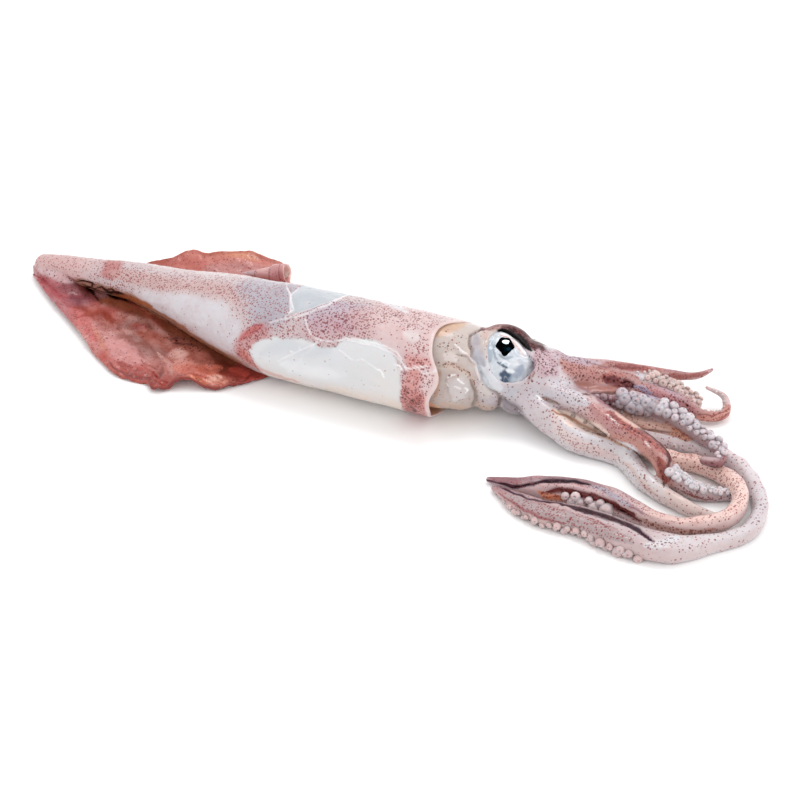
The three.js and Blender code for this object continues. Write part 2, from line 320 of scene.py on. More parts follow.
class Signal:                       # a shader socket that takes part in sums
    def __init__(self, recipe, socket):
        self.recipe = recipe
        self.socket = socket

    def maths(self, operation, *values):
        made = self.recipe.node("ShaderNodeMath", {"operation": operation}, dict(enumerate(values)))
        return made.out("Value")

    def __add__(self, other):
        return self.maths("ADD", self, other)

    def __radd__(self, other):
        return self.maths("ADD", other, self)

    def __sub__(self, other):
        return self.maths("SUBTRACT", self, other)

    def __rsub__(self, other):
        return self.maths("SUBTRACT", other, self)

    def __mul__(self, other):
        return self.maths("MULTIPLY", self, other)

    def __rmul__(self, other):
        return self.maths("MULTIPLY", other, self)

    def __truediv__(self, other):
        return self.maths("DIVIDE", self, other)

    def __rtruediv__(self, other):
        return self.maths("DIVIDE", other, self)

    def __lt__(self, other):
        return self.maths("LESS_THAN", self, other)

    def __gt__(self, other):
        return self.maths("GREATER_THAN", self, other)

    def size(self):
        return self.maths("ABSOLUTE", self)

    def largest(self, other):
        return self.maths("MAXIMUM", self, other)

    def rise(self, low, high):      # 0 below low, 1 above high, smooth between
        settings = {"interpolation_type": "SMOOTHSTEP"}
        values = {"Value": self, "From Min": low, "From Max": high}
        return self.recipe.node("ShaderNodeMapRange", settings, values).out("Result")


class Made:                         # a node, asked for its outputs by name
    def __init__(self, recipe, node):
        self.recipe = recipe
        self.node = node

    def out(self, name):
        found = next(s for s in self.node.outputs if s.name == name and s.enabled)
        return Signal(self.recipe, found)


class Recipe:                       # one material's nodes
    def __init__(self, name):
        self.material = bpy.data.materials.new(name)
        self.material.use_nodes = True
        self.tree = self.material.node_tree
        self.shader = self.tree.nodes["Principled BSDF"]

    def node(self, kind, settings, values):
        made = self.tree.nodes.new(kind)
        for key, value in settings.items():
            setattr(made, key, value)
        for key, value in values.items():
            if isinstance(key, int):
                socket = made.inputs[key]
            else:
                socket = next(s for s in made.inputs if s.name == key and s.enabled)
            self.feed(socket, value)
        return Made(self, made)

    def feed(self, socket, value):
        if isinstance(value, Signal):
            self.tree.links.new(value.socket, socket)
        elif hasattr(value, "__len__") and len(value) == 3 and len(socket.default_value) == 4:
            socket.default_value = (*value, 1)
        else:
            socket.default_value = value

    def place(self):
        return self.node("ShaderNodeTexCoord", {}, {}).out("Object")

    def attribute(self, name):
        return self.node("ShaderNodeAttribute", {"attribute_name": name}, {}).out("Color")

    def split(self, colour):
        parts = self.node("ShaderNodeSeparateColor", {}, {"Color": colour})
        return [parts.out(name) for name in ("Red", "Green", "Blue")]

    def noise(self, place, size, detail=3, rough=0.55):     # size in millimetres
        values = {"Vector": place, "Scale": 1000 / size, "Detail": detail, "Roughness": rough}
        return self.node("ShaderNodeTexNoise", {}, values).out("Fac")

    def mix(self, factor, first, second, blend="MIX"):
        settings = {"data_type": "RGBA", "blend_type": blend}
        values = {"Factor": factor, "A": first, "B": second}
        return self.node("ShaderNodeMix", settings, values).out("Result")

    def shift(self, place, offset):
        settings = {"operation": "ADD"}
        return self.node("ShaderNodeVectorMath", settings, {0: place, 1: offset}).out("Vector")

    def bump(self, height, depth):      # depth in millimetres
        values = {"Strength": 1.0, "Distance": depth / 1000, "Height": height}
        return self.node("ShaderNodeBump", {}, values).out("Normal")

    def set(self, values):
        for name, value in values.items():
            self.feed(self.shader.inputs[name], value)


def speckles(recipe, place, look, density, grow):
    # Pigment spots: one in each cell of a cell pattern, where its chance is under the density.
    moved = recipe.shift(place, look["shift"])
    values = {"Vector": moved, "Scale": 1000 / look["cell"], "Randomness": look["scatter"]}
    cells = recipe.node("ShaderNodeTexVoronoi", {"feature": "F1"}, values)
    chance, size, strength = recipe.split(cells.out("Color"))
    reach = (0.6 + size * 0.8 + grow) * (look["radius"] / look["cell"])
    spot = (reach - cells.out("Distance")).rise(0.0, look["edge"])
    return spot * (chance < density) * (strength * 0.4 + 0.6)


fineDots = {"cell": 0.83, "radius": 0.28, "edge": 0.08, "scatter": 0.75, "shift": (0, 0, 0)}
largeDots = {"cell": 1.35, "radius": 0.38, "edge": 0.08, "scatter": 0.85, "shift": (0.013, 0.007, 0.003)}

wetFlesh = {
    "roughness": (0.3, 0.5), "coat": 0.55, "coatRoughness": 0.06, "subsurface": 0.22, "reach": 0.0022,
    "blotchSize": 7, "grainSize": 1.6, "spotStrength": 0.92, "darkMetal": 0.9, "scatter": (1, 0.42, 0.3),
    "mottle": (0.9, 0.8, 0.8), "mottleAmount": 0.5, "grainAmount": 0.35, "dot": "#872D2F",
    "darkDot": "#331013", "bump": 0.22, "film": "#EFEDF0",
}


def wetMaterial(name, look, twoLayers=False):
    recipe = Recipe(name)
    place = recipe.place()
    marks = recipe.node("ShaderNodeAttribute", {"attribute_name": "marks"}, {})
    dots, dark, bare = recipe.split(marks.out("Color"))
    blotch = recipe.noise(place, look["blotchSize"], 4)
    grain = recipe.noise(place, look["grainSize"])
    tint = recipe.attribute("tint")
    colour = recipe.mix(blotch.rise(0.42, 0.72) * look["mottleAmount"], tint, look["mottle"], "MULTIPLY")
    colour = recipe.mix(grain.rise(0.42, 0.68) * look["grainAmount"], colour, look["mottle"], "MULTIPLY")
    crowding = (dots - 0.8).largest(0.0) * 0.7
    fine = speckles(recipe, place, fineDots, dots + (blotch - 0.5) * 0.7, crowding)
    large = speckles(recipe, place, largeDots, dark * 0.8 + (grain - 0.5) * 0.3 - 0.05, crowding * 0.5)
    red, black = linear(look["dot"]), linear(look["darkDot"])
    colour = recipe.mix(fine * look["spotStrength"], colour, recipe.mix(dark * 0.5, red, black))
    colour = recipe.mix(large * look["spotStrength"], colour, recipe.mix(dark, red, black))
    height = grain * 0.6 + blotch
    if twoLayers:
        ragged = bare + (grain - 0.5) * 0.16 + (blotch - 0.5) * 0.14
        skinless = ragged.rise(-0.06, 0.06)
        flesh = recipe.attribute("under")
        veins = recipe.noise(recipe.shift(place, (0.02, 0.01, 0)), 11, 5, 0.6)
        flesh = recipe.mix(veins.rise(0.42, 0.7) * 0.5, flesh, linear("#CDCDD2"))
        rare = speckles(recipe, place, fineDots, 0.05, 0.0)
        flesh = recipe.mix(rare * 0.6, flesh, red)
        colour = recipe.mix(skinless, colour, flesh)
        torn = 1 - ragged.size().rise(0.01, 0.04)
        crease = 1 - (marks.out("Alpha") + (grain - 0.5) * 0.05).rise(0.01, 0.06)
        streaks = recipe.noise(recipe.shift(place, (0, 0.03, 0)), 5, 2)
        film = (torn * streaks.rise(0.45, 0.62) * 0.6).largest(crease * streaks.rise(0.28, 0.45))
        colour = recipe.mix(film * 0.4, colour, linear(look["film"]))
        height = height + (1 - skinless) * 0.9 + film * 0.7
    low, high = look["roughness"]
    light = recipe.split(colour)[0].rise(0.015, 0.16)
    recipe.set({
        "Base Color": colour, "Roughness": grain.rise(0.3, 0.75) * (high - low) + low,
        "Normal": recipe.bump(height, look["bump"]), "Metallic": (1 - light) * look["darkMetal"],
        "Coat Weight": light * look["coat"], "Coat Roughness": look["coatRoughness"], "IOR": 1.36,
        "Subsurface Weight": look["subsurface"], "Subsurface Scale": look["reach"],
        "Subsurface Radius": look["scatter"],
    })
    return recipe.material


# Mantle: a tapering tube with a thin collar, skinned in places and bare in others

mantle = {
    "length": 183, "flatness": 0.92, "sink": 0.5, "tailLift": 3, "tipRound": 3,
    "widths": [[0, 2.2], [3, 3.6], [25, 6.1], [45, 8], [65, 10.6], [85, 14], [105, 16.7], [125, 18.5],
               [183, 19]],
    "sway": [[0, 1], [25, 2.9], [50, 4.6], [75, 1.1], [115, -3.6], [150, 0], [183, 4.4]],
    "collar": [[0, 2], [60, 1], [94, -2.8], [126, -0.4], [156, 5.6], [185, 3], [210, 2], [240, -0.5],
               [300, 0], [360, 2]],
    "lip": [[182.2, 0], [182.75, 0.12], [183, 0.4], [182.95, 0.75], [182.6, 1.0], [181.6, 1.12],
            [180, 1.25], [177, 1.5], [173, 1.7], [168, 1.9], [168, 9], [168, 18.99]],
    "outerEnd": 182, "columns": 396, "rows": 208, "relief": 0.14, "unevenness": 0.16, "ripple": 0.05,
    "inside": (0.7, 1.2), "collarReach": 22,
}
# Edges of the bare places, as distance along the mantle and angle round it
# (0 is the far side, 90 the top, 180 the near side, 270 underneath).
bareTop = [[124, 30], [123, 62], [123.7, 95], [126.3, 110], [128.2, 121], [131.6, 117], [135.4, 106],
           [138.7, 93], [140.5, 72], [142.5, 52], [140, 26]]
bareFront = [[118, 190], [116.6, 178], [118, 168], [121.5, 159], [126, 152], [130, 152], [135.6, 147],
             [140.2, 148], [143.7, 153], [149.1, 149], [151.5, 137], [156.6, 132], [161.7, 129],
             [166.8, 133], [169.5, 140], [171.2, 150], [172.2, 162], [173, 174], [173.4, 186], [173.4, 202],
             [173, 218], [172, 240], [167, 268], [150, 286], [136, 278], [127, 244], [119, 210]]
mantleStrokes = {
    # Along the mantle's lower edge, where it overhangs the fin, the brown and orange bands are painted shade,
    # and the first brown band is partly a real stain; the dark scribbles are stains.
    "brownStainAndShade": touch([[77, 280], [93, 284], [109, 289], [124, 294], [140, 300]], 0.8, 3.4, "#94683F",
                   strength=0.75, dots=0.8, dark=0.9),
    "scribbleOne": touch([[76, 282], [84, 281], [93, 283], [91, 287], [84, 287]], 0.5, 0.9, "#2C1509"),
    "scribbleTwo": touch([[93, 289], [102, 287], [109, 293], [118, 291], [127, 297], [136, 299], [145, 305]],
                         0.7, 1.1, "#1E0D08"),
    "scribbleThree": touch([[104, 290], [111, 289], [120, 295], [131, 297]], 0.5, 0.9, "#3A1C10"),
    "edgeBrownShade": touch([[145, 305], [158, 312], [176, 323], [189, 333], [209, 346], [226, 355]], 0.8, 2.2,
                       "#9A6A50"),
    "edgeOrangeShade": touch([[116, 295], [135, 300], [152, 307]], 1.2, 3, "#A05C30"),
    "filmTail": touch([[286, 283], [289, 291], [292, 302], [293, 310], [288, 312]], 0.3, 1.3, "#F1EDEF",
                      strength=0.85, dots=0, lift=0.2),
    "filmSecond": touch([[349, 294], [337, 300], [328, 305], [316, 310], [306, 314], [293, 318]], 0.3, 1.4,
                        "#EDE9EC", strength=0.8, dots=0, lift=0.2),
    "filmFront": touch([[338, 342], [346, 338], [356, 339], [368, 342], [384, 346], [396, 352], [402, 360]],
                       0.2, 1.6, "#F4F2F3", strength=0.7, dots=0, lift=0.2),
    "filmPatch": touch([[302, 356], [310, 350], [316, 343], [322, 340]], 0.2, 1.4, "#F4F4F6", strength=0.6,
                       lift=0.2),
    "filmPatchLow": touch([[288, 372], [296, 364], [302, 358]], 0.1, 1.4, "#F0F0F2", strength=0.5),
    "filmStrip": touch([[404, 367], [414, 369], [424, 366], [431, 368]], 0.4, 0.8, "#F6EEED", dots=0,
                       lift=0.25),
    "shineOne": touch([[374, 369], [380, 371], [385, 378]], 0.2, 1, "#FBFBFC"),
    "shineTwo": touch([[391, 364], [399, 365], [402, 371]], 0.1, 0.9, "#FFFFFF"),
    "shineThree": touch([[291, 351], [293, 353]], 0.5, 0.8, "#FFFFFF"),
    "shineFour": touch([[299, 347], [301, 350]], 0.4, 0.8, "#FFFFFF"),
    "burst": touch([[325, 317], [335, 325], [343, 329]], 4, 8, "#C5A2A8", strength=0.3, dots=1.4, dark=0.5),
    "burstCore": touch([[334, 324], [344, 331]], 1, 4, "#BC7D86", strength=0.4),
    "paleBlotch": touch([[404, 333], [418, 339]], 2, 7, "#DFD2D1", dots=0.1, dark=0),
    "paleHigh": touch([[384, 302], [396, 306], [408, 312]], 1.2, 2.6, "#DCD6DB", dots=0.2),
    "spotOne": touch([[313, 342], [315, 342]], 0.5, 1, "#5A2428"),
    "spotTwo": touch([[334, 347], [336, 346]], 0.5, 1, "#6A3030"),
    "spotThree": touch([[270, 339], [271, 339]], 0.2, 0.8, "#7A2A2A"),
    "patchKnot": touch([[408, 409], [414, 403], [421, 396]], 1, 5, "#A9544C", strength=0.8, dots=1.7,
                       dark=1.1),
    "patchFlap": touch([[413, 409], [415, 412]], 1, 1.6, "#6E2C2A"),
    "bareGrey": touch([[262, 353], [285, 345], [310, 352], [330, 351]], 2, 9, "#CBCED4", strength=0.6),
    "bareCloud": touch([[282, 364], [312, 372], [345, 374]], 2, 8, "#E9E9EB", strength=0.6),
    "bareWarm": touch([[320, 394], [355, 403], [398, 408]], 4, 12, "#E9D4C4", strength=0.8),
    "bareShade": touch([[330, 366], [352, 376], [376, 386]], 1, 7, "#D5D5D6", strength=0.5),
    "redGlow": touch([[240, 340], [250, 331], [262, 325]], 1.5, 3.5, "#C04A46", strength=0.7),
    "pinkUnder": touch([[247, 362], [262, 370], [280, 377], [300, 382]], 0.3, 2.0, "#D0938A", strength=0.7,
                       dots=1.2),
}
degree = 0.31       # how many millimetres one degree is, round the wide part


def mantleRadius(x):
    rounding = np.sqrt(np.clip(1 - (1 - np.minimum(x / mantle["tipRound"], 1)) ** 2, 0, 1))
    return reading(mantle["widths"], x) * rounding


def mantlePoint(station, inset, angle):
    x = np.minimum(station, mantle["length"])
    radius = np.maximum(mantleRadius(x), 0.01)
    reach = radius - inset
    turn = np.radians(angle)
    edge = ramp(x, mantle["length"] - mantle["collarReach"], mantle["length"]) * smooth(reach / radius)
    forward = reading(mantle["collar"], angle % 360) * edge
    under = np.maximum(mantle["tailLift"] * (1 - x / 110), 0) - mantle["sink"]
    y = reading(mantle["sway"], x) + reach * np.cos(turn)
    z = under + mantle["flatness"] * (reading(mantle["widths"], x) + reach * np.sin(turn))
    return np.stack([station + forward, y, z], axis=1)


def unrolled(path):                 # a path along and round the mantle, in millimetres
    return np.array(path, float) * [1, degree]


def bareness(flat):                 # how far inside a bare place, in millimetres
    return np.max([depthInside(flat, unrolled(ring)) for ring in (bareTop, bareFront)], axis=0)


filmLines = [
    [[174.7, 144], [178.5, 152], [182.7, 146]],
    [[141.5, 150], [137, 160], [132, 172], [128.5, 182]],
    [[123.7, 80], [123.7, 95], [126.3, 110], [128.2, 119], [127.3, 129], [122.5, 138]],
    [[141, 64], [140.5, 74], [138.7, 93], [135.4, 106], [131.6, 117], [127.8, 130]],
    [[134.4, 123], [137, 134], [140, 142], [143, 144], [146.7, 143], [151.8, 137], [157.4, 136]],
    [[157.4, 137], [162.9, 136], [168.9, 139], [172, 145], [173.5, 153], [175.5, 164]],
    [[151, 150], [157, 158], [160, 154], [165, 160]],
]


def band(path, *values, **more):
    return touch(unrolled(path), *values, **more)


mantleBands = {
    "tail": {
        "red": band([[36.5, 86], [37.2, 104], [38.5, 122], [38.5, 140]], 2.2, 3.4, "#B45853", strength=0.75,
                    dots=1.15, dark=0.15),
        "spots": band([[44, 128], [60, 124], [80, 116], [104, 112]], 5, 7, dots=1.15, dark=0.2),
        "warm": band([[44, 130], [60, 128], [80, 120], [100, 118]], 3, 6, "#C6A19D", strength=0.7),
        "fading": band([[61, 178], [80, 158], [98, 152], [104, 165], [96, 186]], 5, 7, "#D3CED3", dots=0.05,
                       dark=0.0),
    },
    "middle": {
        "violet": band([[108, 84], [118, 96], [120, 118]], 5, 8, "#B0AAB4"),
        "violetFront": band([[140, 112], [150, 106], [156, 104]], 4.5, 5, "#BEB0BB"),
        "flush": band([[141, 131], [147, 124], [150, 116]], 2.2, 5, "#C27F88", strength=0.3),
        "pink": band([[166, 88], [178, 98], [182, 82]], 9, 9, "#D9BFBF"),
        "pinkEdge": band([[152, 104], [156, 118], [158, 128]], 1.8, 5, "#CBA6A6", strength=0.6),
        "spots": band([[140, 112], [152, 106], [164, 104]], 6, 7, dots=1.15, dark=0.5),
    },
    "red": {
        "belt": band([[113, 188], [113, 176], [115.6, 163], [120.3, 151]], 1.9, 3.4, "#BE5450",
                     strength=0.5),
        "low": band([[113.5, 186], [116, 196], [120, 205], [126, 215], [136, 222]], 1.0, 2.4, "#CC7A70",
                    strength=0.7),
    },
    "clear": {"front": band([[166, 120], [170, 126]], 3, 4, dots=0.2, dark=0.0)},
    "collar": {
        "edge": band([[180.5, 152], [181, 165], [183.5, 172]], 1.8, 2.4, "#DCC3C3"),
        "patch": band([[176.2, 188], [177.5, 196], [177.2, 212]], 1.8, 4.6, "#B8625A", strength=0.5, dots=1.6,
                      dark=1.0),
    },
    "underneath": {
        # Under the tail, along the fin's crevice, the brown band and the black line are painted shade and
        # partly a real stain.
        "root": band([[0, 195], [10, 192], [20, 192]], 1.2, 3.6, "#A8747E"),
        "brownStainAndShade": band([[23, 196], [30, 203], [38, 202], [48, 196]], 1.2, 2.2, "#9A6A48", strength=0.6),
        "creviceStainAndShade": band([[27, 204], [34, 212], [44, 203], [55, 201], [66, 203], [80, 212]], 0.5, 1.5,
                        "#2C130A", strength=0.95),
    },
}


def paintMantle(x, angle, flat, inner):
    paint = Paint(len(x), "#CAB8BA", dots=0.95)
    tail = ramp(x, 36, 20)
    paint.wash(tail, "#CFABA9")
    paint.speckle(tail, dots=0.8, dark=0.15)
    paint.patches(flat, mantleBands["tail"])
    paint.speckle(ramp(x, 124, 132), dots=1.1, dark=0.22)
    paint.patches(flat, mantleBands["middle"])
    redBelts = paint.patches(flat, mantleBands["red"])
    paint.speckle(redBelts, dots=1.3, dark=0.35)
    paint.patches(flat, mantleBands["clear"])
    strip = ramp(x, 172, 174.5) * ramp(angle, 130, 142) * ramp(angle, 265, 245)
    paint.wash(strip * 0.9, "#D59792")
    paint.speckle(strip, dots=1.25, dark=0.45)
    paint.patches(flat, mantleBands["collar"])
    paint.wash(ramp(x, 181.4, 182.3), "#E0CCC9")
    paint.speckle(ramp(x, 181.2, 182), dots=0.0, dark=0.0)
    # The underside along the tail half is washed orange-brown: painted shade.
    sway = ramp(x, 14, 26) * ramp(x, 118, 106)
    under = ramp(angle, 190, 210) * ramp(angle, 350, 330) * sway
    paint.wash(under * 0.9, "#A8785A")
    paint.patches(flat, mantleBands["underneath"])
    paint.wash(ramp(angle, 186, 226) * ramp(angle, 350, 330), "#E0CFC3", under=True)
    paint.wash(ramp(x, 148, 176) * ramp(angle, 130, 170) * 0.7, "#DFD9D5", under=True)
    paint.wash(ramp(angle, 130, 116), "#B9BEC5", under=True)
    paint.wash(inner, "#D3B29F")
    paint.wash(inner * ramp(angle, 165, 195), "#F0BE9E")
    paint.dots *= 1 - inner
    paint.bare = np.where(inner > 0.5, -1.0, np.clip(bareness(flat) / 10, -1, 1))
    folds = np.min([distanceTo(flat, unrolled(line)) for line in filmLines], axis=0)
    paint.fold = np.clip(folds / 10, 0, 1)
    return paint


def makeMantle():
    piece, station, inset, across = lippedSheet("mantle", mantle)
    angle = across * 360
    points = mantlePoint(station, inset, angle)
    flat = np.stack([station, angle * degree], axis=1)
    inner = ramp(inset, *mantle["inside"])
    rise = -mantle["relief"] * smooth(bareness(flat) / 0.9 + 0.5)
    rise += mantle["unevenness"] * swell(points, 16, 3) * smooth(station / 20)
    rise += mantle["ripple"] * swell(points, 3.5, 4)
    rise *= 1 - inner
    turn = np.radians(angle)
    points[:, 1] += rise * np.cos(turn)
    points[:, 2] += rise * np.sin(turn)
    settle(piece, points)
    brushOver(piece, paintMantle(station, angle, flat, inner), mantleStrokes)
    finish(piece, wetMaterial("mantleSkin", wetFlesh, twoLayers=True), "flesh", "squid")


# Fins: wavy slabs from under the mantle to a soft rounded edge

nearFin = {
    "widths": [[0, 1.5], [8, 6.6], [19, 13.2], [32, 20.0], [44, 26.6], [54, 32.8], [62, 36.6], [67, 38.9],
               [72, 39.9], [78, 39.5], [83, 38.6], [87, 41], [89.7, 40], [92.6, 36.6], [96, 33.2], [99, 31.8],
               [103, 30.6], [107.5, 28.2], [110.5, 23.6], [113.5, 19.5], [118, 12.5]],
    "front": 118, "side": -1, "columns": 250, "rows": 150,
}
farFin = {
    "edge": [[24, 5, 3], [34, 11.5, 5.6], [41.2, 19.3, 8], [44.9, 21.6, 8.6], [47.6, 23.8, 9],
             [49.5, 29, 9.6], [53.4, 32.8, 10], [58.2, 33.5, 10], [64.3, 37.5, 10.5],
             [69.9, 41.3, 10.5], [72.4, 42.8, 10.5], [76.1, 43.5, 9.5], [81.2, 44.1, 9],
             [86, 43.4, 8.8], [91, 41.2, 8.2], [94.5, 36.5, 7.4], [99, 31, 6.4], [104, 23, 5],
             [109, 15, 3.6], [112, 11, 3]],
    "root": [26, 111], "side": 1, "columns": 220, "rows": 150,
}
finSkin = {
    "near_fin": {"dot": "#6E2A2A", "mottle": (0.78, 0.56, 0.54), "mottleAmount": 0.6, "grainAmount": 0.5,
                 "subsurface": 0.1, "coat": 0.4},
    "far_fin": {"dot": "#7A322E", "mottle": (0.86, 0.62, 0.58), "grainAmount": 0.6, "subsurface": 0.15,
                "coat": 0.35, "bump": 0.1},
}
fin = {"root": 2.0, "thick": 2.2, "edgeThick": 1.3, "underShare": 0.25, "roundShare": 0.06}
roll = {        # the far fin's front corner, rolled into a small open horn
    "lie": [[74.6, 33.1, 6.4], [84, 35.1, 8.5], [93.4, 37.1, 10.6]],
    "radii": [[0, 0.5], [0.2, 1.2], [0.5, 2.2], [0.66, 2.6], [0.7, 3.15], [0.85, 3.5], [1, 3.75]],
    "lip": [[0.99, 0.0], [1.0, 0.1], [1.01, 0.45], [1.0, 0.8], [0.97, 1.0], [0.85, 1.0], [0.7, 1.0],
            [0.68, 2.6]],
    "outerEnd": 0.97, "wall": 0.8, "rings": [0.34, 0.67, 0.9], "ringDepth": 0.16, "ringWidth": 0.014,
    "columns": 120, "rows": 72,
}

finStrokes = {
    "palest": touch([[36, 266], [48, 272], [62, 277], [72, 281]], 3, 4, "#CFB0B3"),
    "purple": touch([[35, 276], [50, 288], [66, 296]], 4, 6, "#B0565C", dots=0.7, dark=0.3),
    "purpleGrey": touch([[60, 287], [72, 291], [80, 296]], 3, 5, "#9C535B", dots=0.9, dark=0.8),
    "scribbleOne": touch([[87, 288], [93, 293], [97, 299], [103, 303]], 0.5, 0.9, "#2A1410"),
    "scribbleTwo": touch([[103, 298], [109, 299], [107, 304]], 0.5, 0.9, "#3A1C18"),
    "flap": touch([[96, 292], [108, 299]], 2, 2.5, "#8E6160"),
    "redEdge": touch([[73, 309], [87, 327], [96, 340]], 2, 7, "#C86662", dots=1.0),
    "orangeEdge": touch([[94, 328], [102, 343], [109, 358]], 0.6, 4, "#C77D62", strength=0.6),
    # Pale pink on the fin's bulges: partly the skin's own colour, partly painted highlight.
    "bulge": touch([[111, 342], [122, 354], [137, 361]], 4, 13, "#CF8E8B", dots=0.2),
    # Painted highlight along the bulge's upper rim, a little raised.
    "bulgeRimHighlight": touch([[102, 341], [109, 334], [124, 331], [144, 335]], 0.4, 4, "#D8A29A", strength=0.6,
                      lift=0.3),
    "bulgeRed": touch([[118, 362], [131, 371], [147, 374]], 1.5, 5, "#A8473F", dots=1.1),
    "redSpots": touch([[134, 325], [146, 329]], 2, 3, "#A8524B", dots=1.0),
    "centre": touch([[140, 333], [162, 340], [189, 351], [211, 360]], 4, 8, "#AE6456", dots=0.5),
    # A second pale bulge: partly the skin's own colour, partly painted highlight.
    "secondBulge": touch([[170, 355], [186, 353]], 1, 9, "#D39C91"),
    "foldDark": touch([[163, 367], [160, 376], [154, 384]], 0.5, 4, "#82281F", strength=0.8, lift=-0.4),
    "frontSalmon": touch([[176, 368], [198, 373], [220, 368]], 4, 5, "#D27460"),
    "redMid": touch([[98, 316], [112, 326]], 3, 7, "#A04632", strength=0.8, dots=1.2),
    # Painted sheen: a lighter spot on the fin's front edge.
    "paintedSheen": touch([[208, 380], [221, 377]], 2, 3, "#EDAE9B"),
    "inkOne": touch([[169, 339], [180, 338], [191, 338], [190, 342]], 0.8, 1.6, "#7A4A42", dots=1.2, dark=1),
    "inkTwo": touch([[181, 348], [192, 349], [202, 351]], 0.8, 2, dots=1.2, dark=1),
    "darkFront": touch([[231, 369], [247, 375], [262, 376]], 2.5, 4, "#BC4F43"),
    # Where the fin runs under the mantle, the brown, black and orange bands are painted shade, and the brown
    # and black ones are partly a real stain.
    "creviceStainAndShade": touch([[100, 300], [120, 303], [136, 309], [162, 322], [189, 336], [216, 351], [234, 364]], 2,
                     6, "#8E4C33"),
    "creviceBlackStainAndShade": touch([[112, 297], [126, 300], [140, 304]], 0.8, 2, "#2A120A"),
    "creviceOrangeShade": touch([[140, 308], [152, 313], [164, 319]], 0.8, 2, "#C07A50"),
    "edgeRed": touch([[152, 373], [160, 382], [171, 383]], 1.6, 4, "#9C2C1C"),
    "redVein": touch([[128, 300], [146, 312], [160, 326], [152, 340]], 0.4, 5, "#A4443A", strength=0.5),
    "paleVein": touch([[118, 312], [134, 318], [150, 322], [168, 336]], 0.6, 4, "#C08A80", strength=0.6),
    "foldPale": touch([[158, 352], [168, 362], [172, 374]], 0.6, 3, "#D9A59C", strength=0.7, lift=0.3),
    "orangeFront": touch([[186, 377], [196, 379], [206, 384]], 0.8, 3, "#D9835C", strength=0.8),
    "inkThree": touch([[172, 343], [186, 344], [198, 347]], 0.3, 1.2, "#3A1C1A", strength=0.7, dots=1.2,
                      dark=1),
    "rim": touch([[109, 362], [118, 371], [136, 378], [149, 379], [153, 389], [167, 389], [176, 380],
                 [189, 378], [204, 387], [220, 389], [242, 383], [253, 374]], 0.9, 2, "#8A2E24"),
}


def nearFinMiddle(share, out):
    widths = nearFin["widths"]
    station = widths[0][0] + (widths[-1][0] - widths[0][0]) * share
    x = station + (nearFin["front"] - widths[-1][0]) * share * (1 - smooth(out * 1.2))
    y = reading(mantle["sway"], x) * (1 - out) - reading(widths, station) * out
    return np.stack([x, y, nearFinHeight(station, out, y)], axis=1)


def farFinMiddle(share, out):
    edge = lineReading(farFin["line"], share, "places")
    x = farFin["root"][0] + (farFin["root"][1] - farFin["root"][0]) * share
    root = np.stack([x, reading(mantle["sway"], x) + 0.5 * reading(mantle["widths"], x),
                     np.full(len(x), fin["root"])], axis=1)
    place = root + (edge - root) * out[:, None]
    place[:, 2] = root[:, 2] + (edge[:, 2] - root[:, 2]) * out ** 1.4
    plan = place[:, :2]
    place[:, 2] += (0.3 * swell(plan, 8, 21) + 0.07 * swell(plan, 3, 22)) * smooth(out * 3)
    return place


nearFinHumps = {        # raised places, some of them only from a share of the way out
    "tailSide": touch([[12, -9], [24, -16], [44, -27]], 4, 12, lift=1.5, start=0.5),
    "bulge": touch([[63, -27], [66, -30]], 3, 9, lift=1.5),
    "middle": touch([[44, -17], [52, -24]], 2, 7, lift=1.0),
    "nearMantle": touch([[88, -16], [94, -22]], 3, 8, lift=1.3),
    "front": touch([[106, -24], [103, -26]], 2, 5, lift=0.9),
    "corner": touch([[95.4, -34], [97.5, -32.4]], 1.0, 6, lift=3.2, start=0.6),
    "tip": touch([[86.5, -40.5], [88.5, -39]], 1.0, 4, lift=1.4, start=0.5),
}


def nearFinHeight(x, out, y):
    place = np.stack([x, y], axis=1)
    edge = ramp(out, 0.5, 1)
    z = fin["root"] + (0.85 - fin["root"]) * smooth(out * 2)
    for look in nearFinHumps.values():
        outer = ramp(out, look["start"], 1) if "start" in look else 1
        z += look["lift"] * near(place, look["path"], look["width"], look["soft"]) * outer
    radius = reading(mantle["widths"], x)
    reach = np.abs(y - reading(mantle["sway"], x)) - 0.75 * radius
    side = reading(nearFin["widths"], x) - 0.75 * radius + 0.4
    flank = (2.2 + 0.92 * radius) * (1 - smooth(reach / side))
    z += np.maximum(flank - z, 0) * ramp(x, 26, 16)
    z += 0.25 * swell(place, 7, 11) * smooth(out * 3)
    z += 0.28 * swell(place, 3.4, 12) * edge * ramp(x, 55, 75)
    return z


def makeFin(name, look, middleOf, painter, strokes):
    piece, share, across = gridSheet(name, look["columns"], look["rows"])
    topShare = 1 - fin["underShare"] - fin["roundShare"]
    onTop = across <= topShare
    low = np.clip((1 - across) / fin["underShare"], 0, 1)
    turning = np.clip((across - topShare) / fin["roundShare"], 0, 1)
    out = np.where(onTop, np.clip(across / topShare, 0, 1), np.where(turning < 1, 1, low))
    step = 1e-3
    here = middleOf(share, out)
    aside = middleOf(np.clip(share + step, 0, 1), out) - middleOf(np.clip(share - step, 0, 1), out)
    outwards = unit(middleOf(share, out) - middleOf(share, out - step))
    normal = unit(np.cross(aside, outwards) * look["side"])
    half = (fin["thick"] + (fin["edgeThick"] - fin["thick"]) * out) / 2
    half *= smooth(share / 0.05 + 0.15) * ramp(share, 1, 0.96)
    turn = math.pi * turning
    reach = np.where(~onTop & (turning < 1), np.sin(turn), 0)
    lift = np.where(turning >= 1, -1, np.where(onTop, 1, np.cos(turn)))
    points = here + half[:, None] * (lift[:, None] * normal + reach[:, None] * outwards)
    settle(piece, points)
    brushOver(piece, painter(points, here[:, 0], out), strokes)
    finish(piece, wetMaterial(name + "Skin", dict(wetFlesh, **finSkin[name])), "flesh", "squid")


